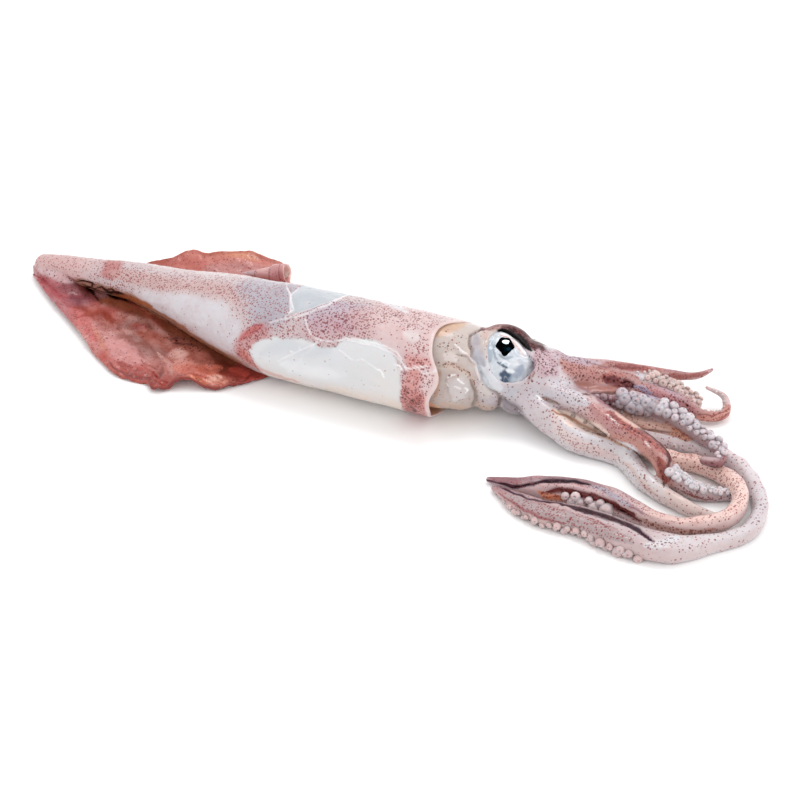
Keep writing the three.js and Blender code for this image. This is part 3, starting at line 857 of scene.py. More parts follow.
nearFinPatches = {
    "skin": {
        "tail": touch([[15, -3], [24, -6]], 4, 8, "#8E5560"),
        "pinkLine": touch([[8, -3], [30, -16], [44, -24]], 1, 3.5, "#C4757A", strength=0.7),
        "redMiddle": touch([[40, -14], [48, -20]], 4, 8, "#B0564A"),
        # Pale pink on the bulge: partly the skin's own colour, partly painted highlight.
        "bulge": touch([[50, -23], [62, -26], [68, -29]], 5, 7, "#CC8A86"),
        "redOuter": touch([[62, -33], [76, -36]], 2, 5, "#B9524A"),
        "brownMiddle": touch([[60, -12], [70, -18], [82, -14]], 5, 9, "#99635A", strength=0.9),
        "pinkFront": touch([[88, -20], [95, -21]], 4, 7, "#CC8072"),
        "redCorner": touch([[85, -36], [92, -34]], 2, 4, "#A8463A", strength=0.8),
        "paleFront": touch([[100, -27], [106, -26]], 2, 4, "#D98672", strength=0.9),
        "redFront": touch([[104, -18], [112, -16]], 3, 5, "#A8463C"),
    },
    # Along the fin's root under the mantle, the brown and black bands are painted shade and partly a real
    # stain.
    "rootStainAndShade": {
        "brown": touch([[26, 1], [40, 0], [55, -3], [70, -7], [84, -12], [100, -17]], 2.2, 6, "#70331F",
                       strength=0.85),
        "blackest": touch([[28, 0], [36, -1], [46, 1]], 1, 2.4, "#2E1209"),
    },
    "spots": {
        "black": touch([[74, -12], [82, -12], [88, -13]], 2, 4, dots=1.0, dark=1.0),
        "tail": touch([[14, -4], [26, -5]], 3, 6, dots=0.6, dark=0.6),
        "bulge": touch([[62, -26], [66, -28]], 5, 6, dots=0.3),
    },
}
farFinPatches = {
    "skin": {
        "orange": touch([[58, 36], [66, 39], [74, 42]], 1.5, 3, "#D08A6E"),
        "red": touch([[46, 22], [52, 27], [60, 28]], 1, 3, "#B85D52", strength=0.7),
        "grey": touch([[66, 28], [74, 33], [80, 36]], 2, 4, "#C08581"),
    },
    "corner": {"pale": touch([[91, 41], [95, 36]], 1, 2.5, "#CF9C97")},
}


def paintNearFin(points, x, out):
    plan = points[:, :2]
    paint = Paint(len(x), "#B56A60", dots=0.8, dark=0.12)
    paint.wash(ramp(x, 52, 30), "#AC6467")
    paint.patches(plan, nearFinPatches["skin"])
    rim = ramp(out, 0.93, 0.99) * ramp(x, 60, 74)
    paint.wash(rim * 0.7, "#A23C2E")
    paint.patches(plan, nearFinPatches["rootStainAndShade"])
    paint.patches(plan, nearFinPatches["spots"])
    return paint


def paintFarFin(points, x, out):
    plan = points[:, :2]
    paint = Paint(len(x), "#CE8276", dots=0.5, dark=0.12)
    paint.patches(plan, farFinPatches["skin"])
    paint.wash(ramp(out, 0.93, 0.98) * 0.6, "#A9503F")
    paint.patches(plan, farFinPatches["corner"])
    return paint


def makeRoll():
    line = curveThrough(roll["lie"], 0.4)
    piece, station, inset, across = lippedSheet("far_roll", roll)
    inset = inset * roll["wall"]
    at = np.clip(station, 0, 1)
    radius = reading(roll["radii"], at) - inset
    for ring in roll["rings"]:
        radius = radius - roll["ringDepth"] * hump(station, ring, roll["ringWidth"]) * (inset < 0.05)
    radius = np.where((station <= 0) | (inset > 1.5), 0.0, radius)
    turn = across * 2 * math.pi
    wave = 1 + 0.04 * np.sin(2 * turn + station * 5) + 0.03 * np.sin(3 * turn + station * 11)
    spoke = beside(line, at, np.cos(turn), np.sin(turn))
    ahead = np.cross(lineReading(line, at, "up"), lineReading(line, at, "side"))
    places = lineReading(line, at, "places") + ahead * ((station - at) * line["length"])[:, None]
    points = places + (radius * wave)[:, None] * spoke
    settle(piece, points)
    paint = Paint(len(points), "#D6A6A5", dots=0.35)
    paint.wash(ramp(station, 0.4, 0.3), "#C7A8AC")
    paint.wash(ramp(station, 0.66, 0.68) * ramp(station, 1, 0.97) * 0.7, "#C68A8B")
    for ring in roll["rings"]:
        paint.wash(hump(station, ring, 0.012) * 0.7, "#8E4347")
    paint.wash(ramp(inset, 0.2, 0.6), "#F6E0D8")
    paint.store(piece)
    look = dict(wetFlesh, dot="#8A3A3A", mottle=(0.9, 0.74, 0.74))
    finish(piece, wetMaterial("farRollSkin", look), "flesh", "squid")


# Limbs: round profiles laid along their curves, with a keel, a flat mouth side and thin side webs

arms = {
    "armFar": {
        "lie": [[211, 17, 19], [223, 26, 19], [234, 36, 16], [244, 48, 11], [253, 59.5, 6.5], [257, 67, 6.5]],
        "base": 4.6, "tip": 0.6, "taper": 0.8, "mouth": 75,
        "tints": [[0, "#C3A6A8"], [0.3, "#C09A9C"], [0.5, "#BC8079"], [0.75, "#C0857E"], [1, "#BC9090"]],
        "dots": 0.8, "dark": 0.4,
    },
    "armHooked": {
        "lie": [[211, 17, 17], [225, 24, 16], [236, 31.5, 13.2], [247.5, 38.6, 9], [256.5, 43.6, 5.4],
                [264, 42.6, 3.6], [269.5, 48, 3], [266.5, 54.5, 5], [259, 53, 8]],
        "base": 4.6, "tip": 0.5, "taper": 0.75, "mouth": -52,
        "tints": [[0, "#C5A4A5"], [0.25, "#BD8980"], [0.4, "#B2827E"], [0.55, "#B695A0"], [0.7, "#B98A84"],
                  [0.82, "#BE7668"], [1, "#D6BFBF"]],
        "dots": 0.9, "dark": 0.7,
    },
    "armSuckered": {
        "lie": [[213, 16, 14], [228, 21, 13], [242, 26.5, 12], [256, 28.5, 10.2], [271, 24.5, 8.8],
                [280.5, 19.5, 8.6], [282, 13.5, 8.6], [276, 11, 9]],
        "base": 4.4, "tip": 1.25, "taper": 0.6, "mouth": 8,
        "tints": [[0, "#AC8084"], [0.3, "#A07D82"], [0.6, "#BCA7AA"], [0.85, "#A9878B"], [1, "#A17A7C"]],
        "dots": 0.5, "dark": 0.6,
    },
    "armRed": {
        "lie": [[211, 14, 15], [230, 14, 14], [247, 9.5, 12.2], [262, 5.5, 10.8], [270, 1.5, 6.2],
                [279.5, 1.5, 3.2], [292, 8, 1.6]],
        "base": 5, "tip": 0.9, "taper": 0.45, "mouth": -20,
        "tints": [[0, "#D6D2D8"], [0.2, "#D2C6CB"], [0.34, "#CA9F9B"], [0.55, "#B9827A"], [0.72, "#AD7268"],
                  [0.8, "#BCA6A7"], [1, "#C6B4B8"]],
        "dots": 1.0, "dark": 0.6,
    },
    "armFront": {
        "lie": [[208, 11, 12], [220, 7.5, 8.5], [233, 5.2, 5], [250, 6.5, 3.6], [263, -2, 3.2],
                [278, -7, 2.8], [294, -6, 1.3]],
        "base": 5, "tip": 0.9, "taper": 0.5, "mouth": -170,
        "tints": [[0, "#D0C5C8"], [0.3, "#D4CED1"], [0.6, "#D7D2D4"], [0.85, "#D4C5C1"], [1, "#D8C6C2"]],
        "dots": 0.55, "dark": 0.3,
    },
    "armUnder": {
        "lie": [[212, 18, 11], [225, 22.5, 9], [243, 24, 6.5], [257, 25.5, 4.8], [269, 25, 4.2]],
        "base": 4.4, "tip": 1.6, "taper": 0.4, "mouth": 20,
        "tints": [[0, "#98706A"], [0.5, "#BC958C"], [1, "#BC9184"]],
        "dots": 0.2, "dark": 0.2,
    },
    "armInner": {
        "lie": [[212, 14, 9], [226, 12.5, 7.5], [242, 13, 5], [254, 12.5, 3.5], [261, 9.5, 3]],
        "base": 4.2, "tip": 1, "taper": 0.8, "mouth": 20,
        "tints": [[0, "#CDBAB4"], [0.5, "#D2B6A6"], [1, "#BE9884"]],
        "dots": 0.1, "dark": 0.1,
    },
    "armHidden": {
        "lie": [[212, 21, 9], [228, 27.5, 5.5], [246, 24, 3.8], [258, 23, 3.2], [265, 20.5, 3]],
        "base": 4.2, "tip": 1.2, "taper": 0.7, "mouth": 10,
        "tints": [[0, "#A98078"], [1, "#C9BCBC"]],
        "dots": 0.2, "dark": 0.2,
    },
}
folds = {       # the bed under the hooked arm's suckers, and the skin between the two far arms
    "armHookedBed": {
        "lie": [[234, 36, 14], [240, 41, 11.5], [247, 44.2, 8.6], [254, 46.4, 6.0], [261.5, 46, 3.6]],
        "base": 3.6, "tip": 2.2, "taper": 0.5, "mouth": 0,
        "tints": [[0, "#B98A80"], [0.4, "#CDB3AC"], [1, "#D0BAB6"]],
        "dots": 0.2, "dark": 0.1,
    },
    "web": {
        "lie": [[211, 17, 18.5], [223, 23.5, 18.3], [233, 30.5, 16], [240, 37.5, 13]],
        "base": 4.6, "tip": 1.2, "taper": 0.6, "mouth": 180,
        "tints": [[0, "#C3A3A4"], [0.5, "#BC9089"], [1, "#B5837E"]],
        "dots": 0.9, "dark": 0.6,
    },
}
tentacles = {
    "tentaclePink": {
        "lie": [[214, 18, 9], [230, 21, 5], [250, 16.5, 3.4], [262.5, 13.5, 3.1], [275, 15.5, 3.1],
                [288, 12, 4], [295, 3.5, 5.6], [296, -8, 5.6], [287, -17, 4.2], [276, -19.5, 3.2],
                [261, -17.5, 3.3], [246, -18.5, 3.3], [232, -24, 2.9], [215.5, -26.5, 1.6]],
        "stalk": 3.05, "club": 0.34, "flat": 0.35, "mouth": -84,
        "clubWidths": [[0, 1], [0.25, 1.1], [0.5, 1.22], [0.72, 1.15], [0.86, 0.66], [1, 0.2]],
        "tints": [[0, "#DAB2A8"], [0.3, "#E9C5BA"], [0.48, "#EDCEC6"], [0.66, "#E2C2BB"], [0.74, "#C3A9AC"],
                  [0.9, "#B99494"], [1, "#A9808A"]],
        "dots": 1.05, "dark": 0.1,
    },
    "tentaclePale": {
        "lie": [[214, 20, 9], [229, 25.5, 5], [252, 22.5, 3], [273, 25, 2.8], [285, 23, 2.8], [295, 15, 2.9],
                [302, 4.5, 3], [303, -9, 3], [295, -21, 3], [285, -30.5, 3.4], [270, -33, 3.6],
                [255, -32, 3.5], [240, -34.5, 3.1], [219.5, -29.5, 1.6]],
        "stalk": 2.85, "club": 0.41, "flat": 0.75, "mouth": -92,
        "clubWidths": [[0, 1], [0.12, 1.2], [0.35, 1.35], [0.6, 1.2], [0.85, 0.85], [1, 0.2]],
        "tints": [[0, "#DDCDCF"], [0.3, "#E3D5D8"], [0.5, "#D3CCD1"], [0.62, "#D8D1D4"], [0.74, "#C5B1B3"],
                  [0.88, "#C3AAAA"], [1, "#AE878B"]],
        "dots": 0.55, "dark": 0.3, "mouthTint": "#C9A9A4",
    },
}
clubStrokes = {
    "tentaclePink": {
        "topSkin": touch([[504, 478], [531, 480], [548, 478], [573, 480], [595, 484], [617, 498], [644, 513]],
                         1.6, 2, "#9D7980", dots=0.8, dark=0.3),
        "keel": touch([[500, 484], [512, 487], [524, 486], [537, 482], [555, 480], [573, 481], [590, 484]],
                      1.2, 2, "#28101F", dots=0.8, dark=1, lift=-0.3),
        "keelBlue": touch([[590, 485], [603, 489], [616, 497], [630, 506]], 1.2, 2, "#A69EAA", dots=0.9,
                          dark=0.8),
        "palePink": touch([[531, 488], [548, 485], [571, 486], [591, 492], [608, 500], [624, 509]], 1.3, 1.6,
                          "#C6A8AA", dots=0.8, dark=0.1),
        "groove": touch([[544, 494], [559, 491], [577, 494], [595, 499], [608, 504], [626, 513], [640, 522]],
                        2.4, 2.6, "#6E1E18", dots=1.8, dark=0.9, lift=-0.9),
        "grooveBlack": touch([[600, 502], [612, 507], [622, 513], [632, 519]], 0.7, 1.2, "#3C1416",
                             lift=-0.3),
        "grooveBrown": touch([[539, 492], [548, 497], [564, 499]], 1.8, 2, "#CC7C5A", dots=1.2, dark=0.5),
        "stalkDots": touch([[635, 517], [653, 526], [675, 531], [697, 533], [715, 529]], 1.8, 2.4, "#C49C92",
                           dots=1.3, dark=0.6),
        "tipDark": touch([[486, 480], [497, 482], [511, 486], [518, 488]], 0.8, 1.4, "#54303F"),
        "tipSkin": touch([[490, 477], [505, 480], [520, 482]], 1.6, 2, "#94676E"),
    },
    "tentaclePale": {
        "paleLine": touch([[488, 482], [500, 487], [508, 490], [528, 498], [548, 502], [564, 502],
                          [579, 504]], 0.6, 1, "#4B2A3E", dots=0, lift=-0.2),
        "paleBandStart": touch([[568, 505], [582, 509], [598, 514.5], [614, 519], [628, 525]], 2.4, 2,
                               "#3A1F30", dots=0.8, dark=1, lift=-0.3),
        "paleBand": touch([[562, 503], [579, 505], [595, 510], [613, 515], [626, 521], [644, 534],
                          [653, 541]], 2.1, 1.6, "#3A1F30", dots=0.8, dark=1, lift=-0.5),
        # Painted highlight: a pale streak along the pale club, a little raised.
        "paleHighlightStreak": touch([[584, 514], [599, 518], [617, 524], [631, 530], [649, 542]], 0.9, 2, "#D6D0D8",
                           strength=0.2, dots=0.05, lift=0.3),
        "paleRedLine": touch([[520, 499], [542, 505], [564, 512], [586, 519], [599, 523], [617, 530]], 0.4, 3,
                             "#A87476", dots=1.8, dark=0.6),
        "paleSkin": touch([[508, 497], [531, 508], [564, 518], [599, 530], [631, 541]], 5, 4, "#AD9A9B",
                          dots=1.1, dark=0.2),
        "paleEdge": touch([[499, 493], [511, 502], [526, 511], [542, 518], [564, 524]], 0.6, 1.6, "#9A6265",
                          dots=1.2, dark=0.4),
        "paleJoint": touch([[645, 546], [655, 546], [668, 541], [680, 537]], 2.4, 3, "#D9D7DB", dots=1.0,
                           dark=0.6),
    },
}


spanSamples = 30


def curveThrough(lie, step):        # an even run of places, with what is ahead, beside and above
    p = np.array(lie, float)
    p = np.vstack([2 * p[0] - p[1], p, 2 * p[-1] - p[-2]])
    dense = []
    s = np.linspace(0, 1, spanSamples, endpoint=False)[:, None]
    for a, b, c, d in zip(p, p[1:], p[2:], p[3:]):
        t0, t1, t2 = [math.sqrt(np.linalg.norm(q)) for q in (b - a, c - b, d - c)]
        m1 = ((b - a) / t0 - (c - a) / (t0 + t1) + (c - b) / t1) * t1
        m2 = ((c - b) / t1 - (d - b) / (t1 + t2) + (d - c) / t2) * t1
        dense.append(b * (2 * s ** 3 - 3 * s ** 2 + 1) + m1 * (s ** 3 - 2 * s ** 2 + s)
                     + c * (3 * s ** 2 - 2 * s ** 3) + m2 * (s ** 3 - s ** 2))
    dense = np.vstack(dense + [p[-2:-1]])
    lengths = np.concatenate([[0], np.cumsum(np.linalg.norm(np.diff(dense, axis=0), axis=1))])
    count = int(lengths[-1] / step) + 1
    even = np.linspace(0, lengths[-1], count + 1)
    places = np.stack([np.interp(even, lengths, dense[:, k]) for k in range(3)], axis=1)
    ahead = unit(np.gradient(places, axis=0))
    side = unit(np.cross(ahead, [0, 0, 1]))
    return {"places": places, "side": side, "up": np.cross(side, ahead), "length": lengths[-1]}


def limbRadius(look, t):
    if "club" in look:
        return look["stalk"] * reading(look["clubWidths"], clubShare(look, t))
    return look["tip"] + (look["base"] - look["tip"]) * (1 - t) ** look["taper"]


def clubShare(look, t):
    return np.maximum((t - 1 + look["club"]) / look["club"], 0)


def limbWide(look, t):
    return 1 + look["flat"] * smooth(clubShare(look, t) * 4) if "club" in look else np.ones_like(t)


def turnFrom(angle, other):         # degrees between two angles, 0 to 180
    return np.abs((angle - other + 180) % 360 - 180)


# Every limb's section: rises as shares of the radius, places and widths in degrees from the mouth side.
section = {
    "mouth": {"rise": -0.16, "at": 0, "width": 34, "wave": 0},
    "webs": {"rise": 0.10, "at": 56, "width": 11, "wave": 0.5},
    "keel": {"rise": 0.09, "at": 180, "width": 16, "wave": 0},
}
waveTurns = 160


def limbSection(look, t, angle):    # how far the skin stands out, as a share of the radius
    off = turnFrom(angle, look["mouth"])
    share = np.ones(len(off))
    for part in section.values():
        wave = 1 + part["wave"] * np.sin(t * waveTurns)
        share += part["rise"] * hump(off, part["at"], part["width"]) * wave
    return share


def lineReading(line, t, key):
    at = t * (len(line["places"]) - 1)
    steps = np.arange(len(line["places"]))
    return np.stack([np.interp(at, steps, line[key][:, k]) for k in range(3)], axis=1)


def beside(line, t, across, high):  # the step from a line to a place beside and above it
    return lineReading(line, t, "side") * across[:, None] + lineReading(line, t, "up") * high[:, None]


def limbPlace(look, t, angle):      # a place on the skin, and the way out of it
    line = look["line"]
    turn = np.radians(angle)
    radius = limbRadius(look, t) * limbSection(look, t, angle)
    across = radius * np.sin(turn) * limbWide(look, t)
    high = radius * np.cos(turn)
    out = beside(line, t, across, high)
    return lineReading(line, t, "places") + out, unit(out)


def paintLimb(look, t, angle):
    stops = look["tints"]
    paint = Paint(len(t), stops[0][1], look["dots"], look["dark"])
    for (t0, _), (t1, colour) in zip(stops[:-1], stops[1:]):
        paint.wash(ramp(t, t0, t1), colour)
    mouth = hump(turnFrom(angle, look["mouth"]), 0, 45)
    paint.wash(mouth * 0.45 * ramp(t, 0.2, 0.4), look.get("mouthTint", "#C9B8BC"))
    paint.speckle(mouth * 0.9, dots=0.05)
    return paint


limb = {"uneven": 0.05, "unevenSize": 9, "endRounding": 2, "leastRadius": 0.3, "leastReach": 0.8}
armMesh = {"rows": 28, "step": 0.7}
tentacleMesh = {"rows": 64, "step": 0.5}


def limbGrid(name, look, rows, step):
    look["line"] = curveThrough(look["lie"], step)
    long = look["line"]["length"]
    piece, t, across = gridSheet(name, len(look["line"]["places"]) - 1, rows)
    angle = across * 360 - 180
    points, outward = limbPlace(look, t, angle)
    centre = lineReading(look["line"], t, "places")
    radius = limbRadius(look, t)
    left = (1 - t) * long
    tip = np.clip(left / np.maximum(radius, limb["leastRadius"]), 0, 1)
    closing = np.sqrt(np.clip(1 - (1 - tip) ** 2, 0, 1))
    closing *= np.sqrt(np.clip(t * long / limb["endRounding"], 0, 1))
    points = centre + (points - centre) * closing[:, None]
    waves = swell(points, limb["unevenSize"], len(name))
    points += outward * (limb["uneven"] * radius * waves * closing)[:, None]
    return piece, t, angle, points


def makeTentacle(name, look):
    piece, t, angle, points = limbGrid(name, look, **tentacleMesh)
    settle(piece, points)
    brushOver(piece, paintLimb(look, t, angle), clubStrokes[name])
    finish(piece, wetMaterial(name + "Skin", wetFlesh), "flesh", "squid")


# Suckers: one pearl on a short stalk with a small cup in its top, copied along the limbs

suckerRows = [
    {"on": "armSuckered", "from": 0.2, "to": 0.36, "angles": [62, 92], "size": 1.7, "count": 5,
     "tint": "#A98E96"},
    {"on": "armSuckered", "from": 0.34, "to": 0.5, "angles": [26, 54, 88], "size": 2.7, "count": 4,
     "tint": "#BBB0B8", "fall": 0.1},
    {"on": "armSuckered", "from": 0.5, "to": 0.93, "angles": [-22, 14, 50], "size": 2.3, "count": 10,
     "tint": "#D0C6CD"},
    {"on": "armHookedBed", "from": 0.3, "to": 0.98, "angles": [-80, -50, -20, 10, 42], "size": 2.0,
     "count": 8, "tint": "#D3B9B4"},
    {"on": "armHooked", "from": 0.72, "to": 0.97, "angles": [-70, -40], "size": 0.75, "count": 11,
     "tint": "#D8C4C2"},
    {"on": "armFar", "from": 0.50, "to": 0.66, "angles": [62, 88], "size": 1.05, "count": 4,
     "tint": "#D8CECF"},
    {"on": "armUnder", "from": 0.24, "to": 0.7, "angles": [0, 34], "size": 1.3, "count": 7,
     "tint": "#B99F9B"},
    {"on": "armRed", "from": 0.72, "to": 0.98, "angles": [-48, -8, 30], "size": 1.9, "count": 11,
     "tint": "#D6CDD2"},
    {"on": "armInner", "from": 0.3, "to": 0.8, "angles": [10, 40], "size": 1.0, "count": 6,
     "tint": "#C9B8AE"},
    {"on": "armHidden", "from": 0.45, "to": 0.95, "angles": [-10, 30], "size": 1.5, "count": 6,
     "tint": "#D2C9C8"},
    {"on": "tentaclePink", "from": 0.765, "to": 0.86, "angles": [-112, -82], "size": 2.6, "count": 4,
     "tint": "#DCC9CB"},
    {"on": "tentaclePale", "from": 0.72, "to": 0.965, "angles": [-124, -100], "size": 2.2, "count": 15,
     "tint": "#CDB4B4"},
]
# A sucker's steps give the rise and growth of its stalk, pearl, rim and hollow, in sucker widths.
sucker = {
    "sides": 10, "foot": -0.8,
    "steps": [(0.5, 1.5), (0.32, 1.17), (0.3, 1.0), (0.28, 0.86), (0.2, 0.7), (0.08, 0.6), (-0.02, 0.66),
              (-0.12, 0.8)],
    "fall": 0.42, "jitter": 0.2, "swing": 6, "tilt": 0.16, "sizes": (0.62, 1.15), "lights": (0.86, 1.12),
}


def makeCup():                      # the one sucker that is copied
    deselect()
    bpy.ops.mesh.primitive_circle_add(vertices=sucker["sides"], radius=0.5, fill_type="NGON",
                                      location=(0, 0, sucker["foot"]))
    cup = bpy.context.object
    bpy.ops.object.transform_apply(location=True)
    bpy.ops.object.mode_set(mode="EDIT")
    bpy.ops.mesh.select_all(action="SELECT")
    for lift, grow in sucker["steps"]:
        bpy.ops.mesh.extrude_region_move(TRANSFORM_OT_translate={"value": (0, 0, lift)})
        bpy.ops.transform.resize(value=(grow, grow, 1), center_override=(0, 0, 0))
    bpy.ops.mesh.select_all(action="SELECT")
    bpy.ops.mesh.normals_make_consistent(inside=False)
    bpy.ops.object.mode_set(mode="OBJECT")
    corners = np.array([v.co[:] for v in cup.data.vertices])
    faces = [list(f.vertices) for f in cup.data.polygons]
    bpy.data.objects.remove(cup, do_unlink=True)
    return corners, faces


def makeSuckers():
    corners, faces = makeCup()
    draw = np.random.default_rng(7)
    away = np.linalg.norm(corners[:, :2], axis=1)
    hollow = ((away < 0.24) & (corners[:, 2] > 0)) * 1.0
    low = ramp(corners[:, 2], 0.6, -0.1)
    allCorners, allFaces, tints = [], [], []
    for row in suckerRows:
        look = {**arms, **folds, **tentacles}[row["on"]]
        for line, angle in enumerate(row["angles"]):
            for i in range(row["count"]):
                jitter = draw.uniform(-sucker["jitter"], sucker["jitter"])
                share = (i + 0.5 * (line % 2) + jitter) / row["count"]
                t = np.array([row["from"] + (row["to"] - row["from"]) * share])
                lean = np.array([angle + draw.uniform(-sucker["swing"], sucker["swing"])])
                place, outward = limbPlace(look, t, lean)
                size = row["size"] * (1 - row.get("fall", sucker["fall"]) * share)
                size *= draw.uniform(*sucker["sizes"])
                size = min(size, 0.7 * limbRadius(look, t)[0] + 0.7)
                tilt = Vector(outward[0]) + Vector(draw.normal(0, sucker["tilt"], 3))
                turn = np.array(tilt.to_track_quat("Z", "Y").to_matrix())
                first = sum(len(c) for c in allCorners)
                allCorners.append(place[0] + (corners * size * [1, 1, 0.9]) @ turn.T)
                allFaces += [[first + k for k in face] for face in faces]
                pearl = np.tile(linear(row["tint"]), (len(corners), 1)) * draw.uniform(*sucker["lights"])
                # The pearls' cups and lower parts are painted darker: painted shade.
                tints.append(pearl * (1 - 0.16 * hollow - 0.3 * low)[:, None])
    mesh = bpy.data.meshes.new("suckers")
    points = np.vstack(allCorners)
    mesh.from_pydata(points.tolist(), [], allFaces)
    piece = bpy.data.objects.new("suckers", mesh)
    bpy.context.collection.objects.link(piece)
    settle(piece, points)
    paint = Paint(len(points), "#C9BFC6")
    paint.tint = np.vstack(tints)
    paint.store(piece)
    look = dict(wetFlesh, subsurface=0.4, mottleAmount=0.2, bump=0.03, coat=0.8)
    finish(piece, wetMaterial("suckerSkin", look), "flesh", "squid")


# Head and arms in one skin: balls, a neck and eight limbs run together, then creased and painted

head = {
    "balls": [
        [[187, 5, 9], [8.5, 7, 7], [0, 0, 0.35]],
        [[196, 9.5, 8.5], [5.6, 5.6, 7], [0, 0, 0.3]],
        [[189.5, 2.5, 14.2], [5.6, 5.6, 6.6], [0, 0, 0.4]],     # funnel
        [[197, 8.5, 11.5], [5.2, 5.2, 8.0], [0, 0, 0.4]],       # lump between funnel and head
        [[207, 18.5, 13.8], [13.5, 12.2, 13.2], [0, 0.06, 0.2]],
        [[197.5, 19.5, 22], [10.5, 7.4, 9], [0, 0.1, 0.2]],
        [[215, 18.3, 13.3], [10.5, 8.9, 9.5], [0, 0.1, 0.15]],
        [[206, 13.5, 8], [8, 6.5, 6.5], [0, 0, 0.2]],
        [[214, 21.5, 19.2], [8, 6, 6.4], [0, 0.25, 0.2]],
    ],
    "neck": [[171, 4, 17.4], [182, 8, 16.9], [191, 13.8, 15.6], [202, 18.5, 14]],
    "neckRadius": 16.3, "neckNarrowing": 5.2, "voxel": 0.5, "orbitDrop": 2.6,
    "easing": 5, "crownEasing": 22, "crown": (28, 12), "limbPaint": (7, 16), "limbPaintEdge": (2.4, 1.6),
}
neckStrokes = {
    # Painted shade: orange-brown on the neck just inside the collar's rim.
    "rimWarmShade": touch([[437, 336], [441, 331], [453, 325], [466, 322]], 3, 5, "#D3B098"),
    "dotsHigh": touch([[455, 338], [463, 335]], 1, 4, dots=0.8, dark=0.8),
    "dotsLow": touch([[437, 345], [448, 345], [455, 347], [451, 352]], 1, 4, dots=0.9, dark=0.9),
    "palePanel": touch([[445, 355], [455, 360]], 3, 6, "#E6DEDA", strength=0.7),
    # A whitish ridge, partly the skin's own pale colour and partly painted highlight, a little raised.
    "ridgePaleAndHighlight": touch([[454, 345], [463, 352], [472, 361], [477, 369], [479, 380]], 0.7, 1.5, "#EFEAE9",
                        dots=0, lift=0.6),
    "ridgeLower": touch([[456, 354], [467, 357], [475, 366]], 0.4, 1.2, "#BFB0A8", lift=-0.5),
    "brownCrease": touch([[438, 367], [449, 365], [460, 368], [469, 374], [474, 383]], 0.4, 4, "#D2BEB0",
                         dots=1.3, dark=0.5, lift=-0.6),
    "funnel": touch([[450, 383], [460, 388], [455, 398]], 7, 6, "#D2CBCA", dots=0.12, lift=0.6),
    "funnelShade": touch([[440, 372], [437, 385], [435, 398]], 1, 3, "#C3A28E"),
    "sparkOne": touch([[448, 378], [451, 375], [455, 374]], 0.4, 0.7, "#FFFFFF"),
    "sparkTwo": touch([[456, 378], [460, 381], [464, 383]], 0.4, 0.7, "#FFFFFF"),
    "sparkThree": touch([[464, 386], [468, 389], [466, 392]], 0.4, 0.7, "#FFFFFF"),
    "sparkFour": touch([[446, 383], [448, 387]], 0.3, 0.7, "#FFFFFF"),
    "sparkFive": touch([[454, 386], [460, 388]], 0.3, 0.7, "#F4F2F2"),
    "lumpCrease": touch([[470, 380], [476, 392], [476, 400], [473, 409]], 0.5, 2, "#B3A197", lift=-1.1),
    "lump": touch([[482, 384], [488, 396]], 4, 5, "#DAD3D0", lift=0.3),
    "lumpWarm": touch([[478, 404], [484, 410], [494, 408]], 0.5, 5, "#D0BAAC"),
    "warmUnder": touch([[440, 404], [455, 408], [468, 408]], 0.5, 5, "#D2B8A6"),
    "flapInside": touch([[430, 404], [433, 410], [441, 410]], 3, 3, "#FFCBA8"),
    "skullCrease": touch([[481, 329], [470, 335], [470, 347], [476, 361], [481, 372], [487, 386], [496, 393],
                         [500, 399], [498, 408]], 0.6, 1.9, "#9E8F89", lift=-1.0),
}
headStrokes = {
    "underEye": touch([[476, 352], [482, 366], [491, 381], [501, 389]], 3, 6, "#DDE0E6", dots=0.05, dark=0),
    "greySide": touch([[476, 334], [476, 345], [479, 356], [484, 366]], 1.5, 5, "#A9A4AE", strength=0.85),
    "pinkSide": touch([[483, 338], [488, 331]], 0.5, 5, "#D0AEA7", strength=0.8),
    "crownBrown": touch([[482, 329], [489, 325], [497, 323], [507, 324], [519, 329], [534, 337], [546, 344]],
                        3, 4, "#8E585A", dots=1.7, dark=1.1),
    "crownRed": touch([[488, 330], [496, 328], [504, 328]], 1, 2, "#A47A72", dots=0.9, dark=0.6),
    "browDark": touch([[503, 328], [515, 330], [528, 339], [540, 349], [549, 357]], 3.2, 4, "#4A1C20",
                      dots=1.6, dark=1.1),
    "browBlack": touch([[498, 331], [505, 331.5], [513, 334.5], [523, 342], [531, 350.5]], 2.1, 2.6,
                       "#070304", dots=0, dark=0),
    "browEnd": touch([[536, 352], [543, 358], [550, 366]], 1.2, 5, "#7C3F44", strength=0.7, dots=1.5,
                     dark=1.2),
    "eyeCorner": touch([[531, 366], [533, 374], [528, 382]], 0.5, 3, "#A87C7C", strength=0.6, dots=1.2,
                       dark=1.1),
    "cheek": touch([[538, 354], [546, 364], [554, 372]], 7, 10, "#C6A9B1", dots=1.0, dark=1.15),
    "cheekLow": touch([[524, 392], [540, 396], [556, 398]], 4, 5, "#CDC8CE", dots=0.6, dark=0.3),
    "throat": touch([[503, 392], [516, 392]], 3, 4, "#C9C8CF", dots=0.5),
    # Painted highlights: two white glints on the head below the eye.
    "paintedGlintOne": touch([[536, 396], [543, 400]], 0.4, 0.8, "#FFFFFF"),
    "paintedGlintTwo": touch([[556, 384], [562, 390]], 0.4, 0.8, "#FFFFFF"),
    "underLump": touch([[503, 401], [512, 408], [524, 418]], 4, 3, "#9F989F"),
    "jawLine": touch([[500, 396], [510, 404], [521, 413], [530, 424]], 0.4, 1.5, "#8A8085", lift=-0.5),
}
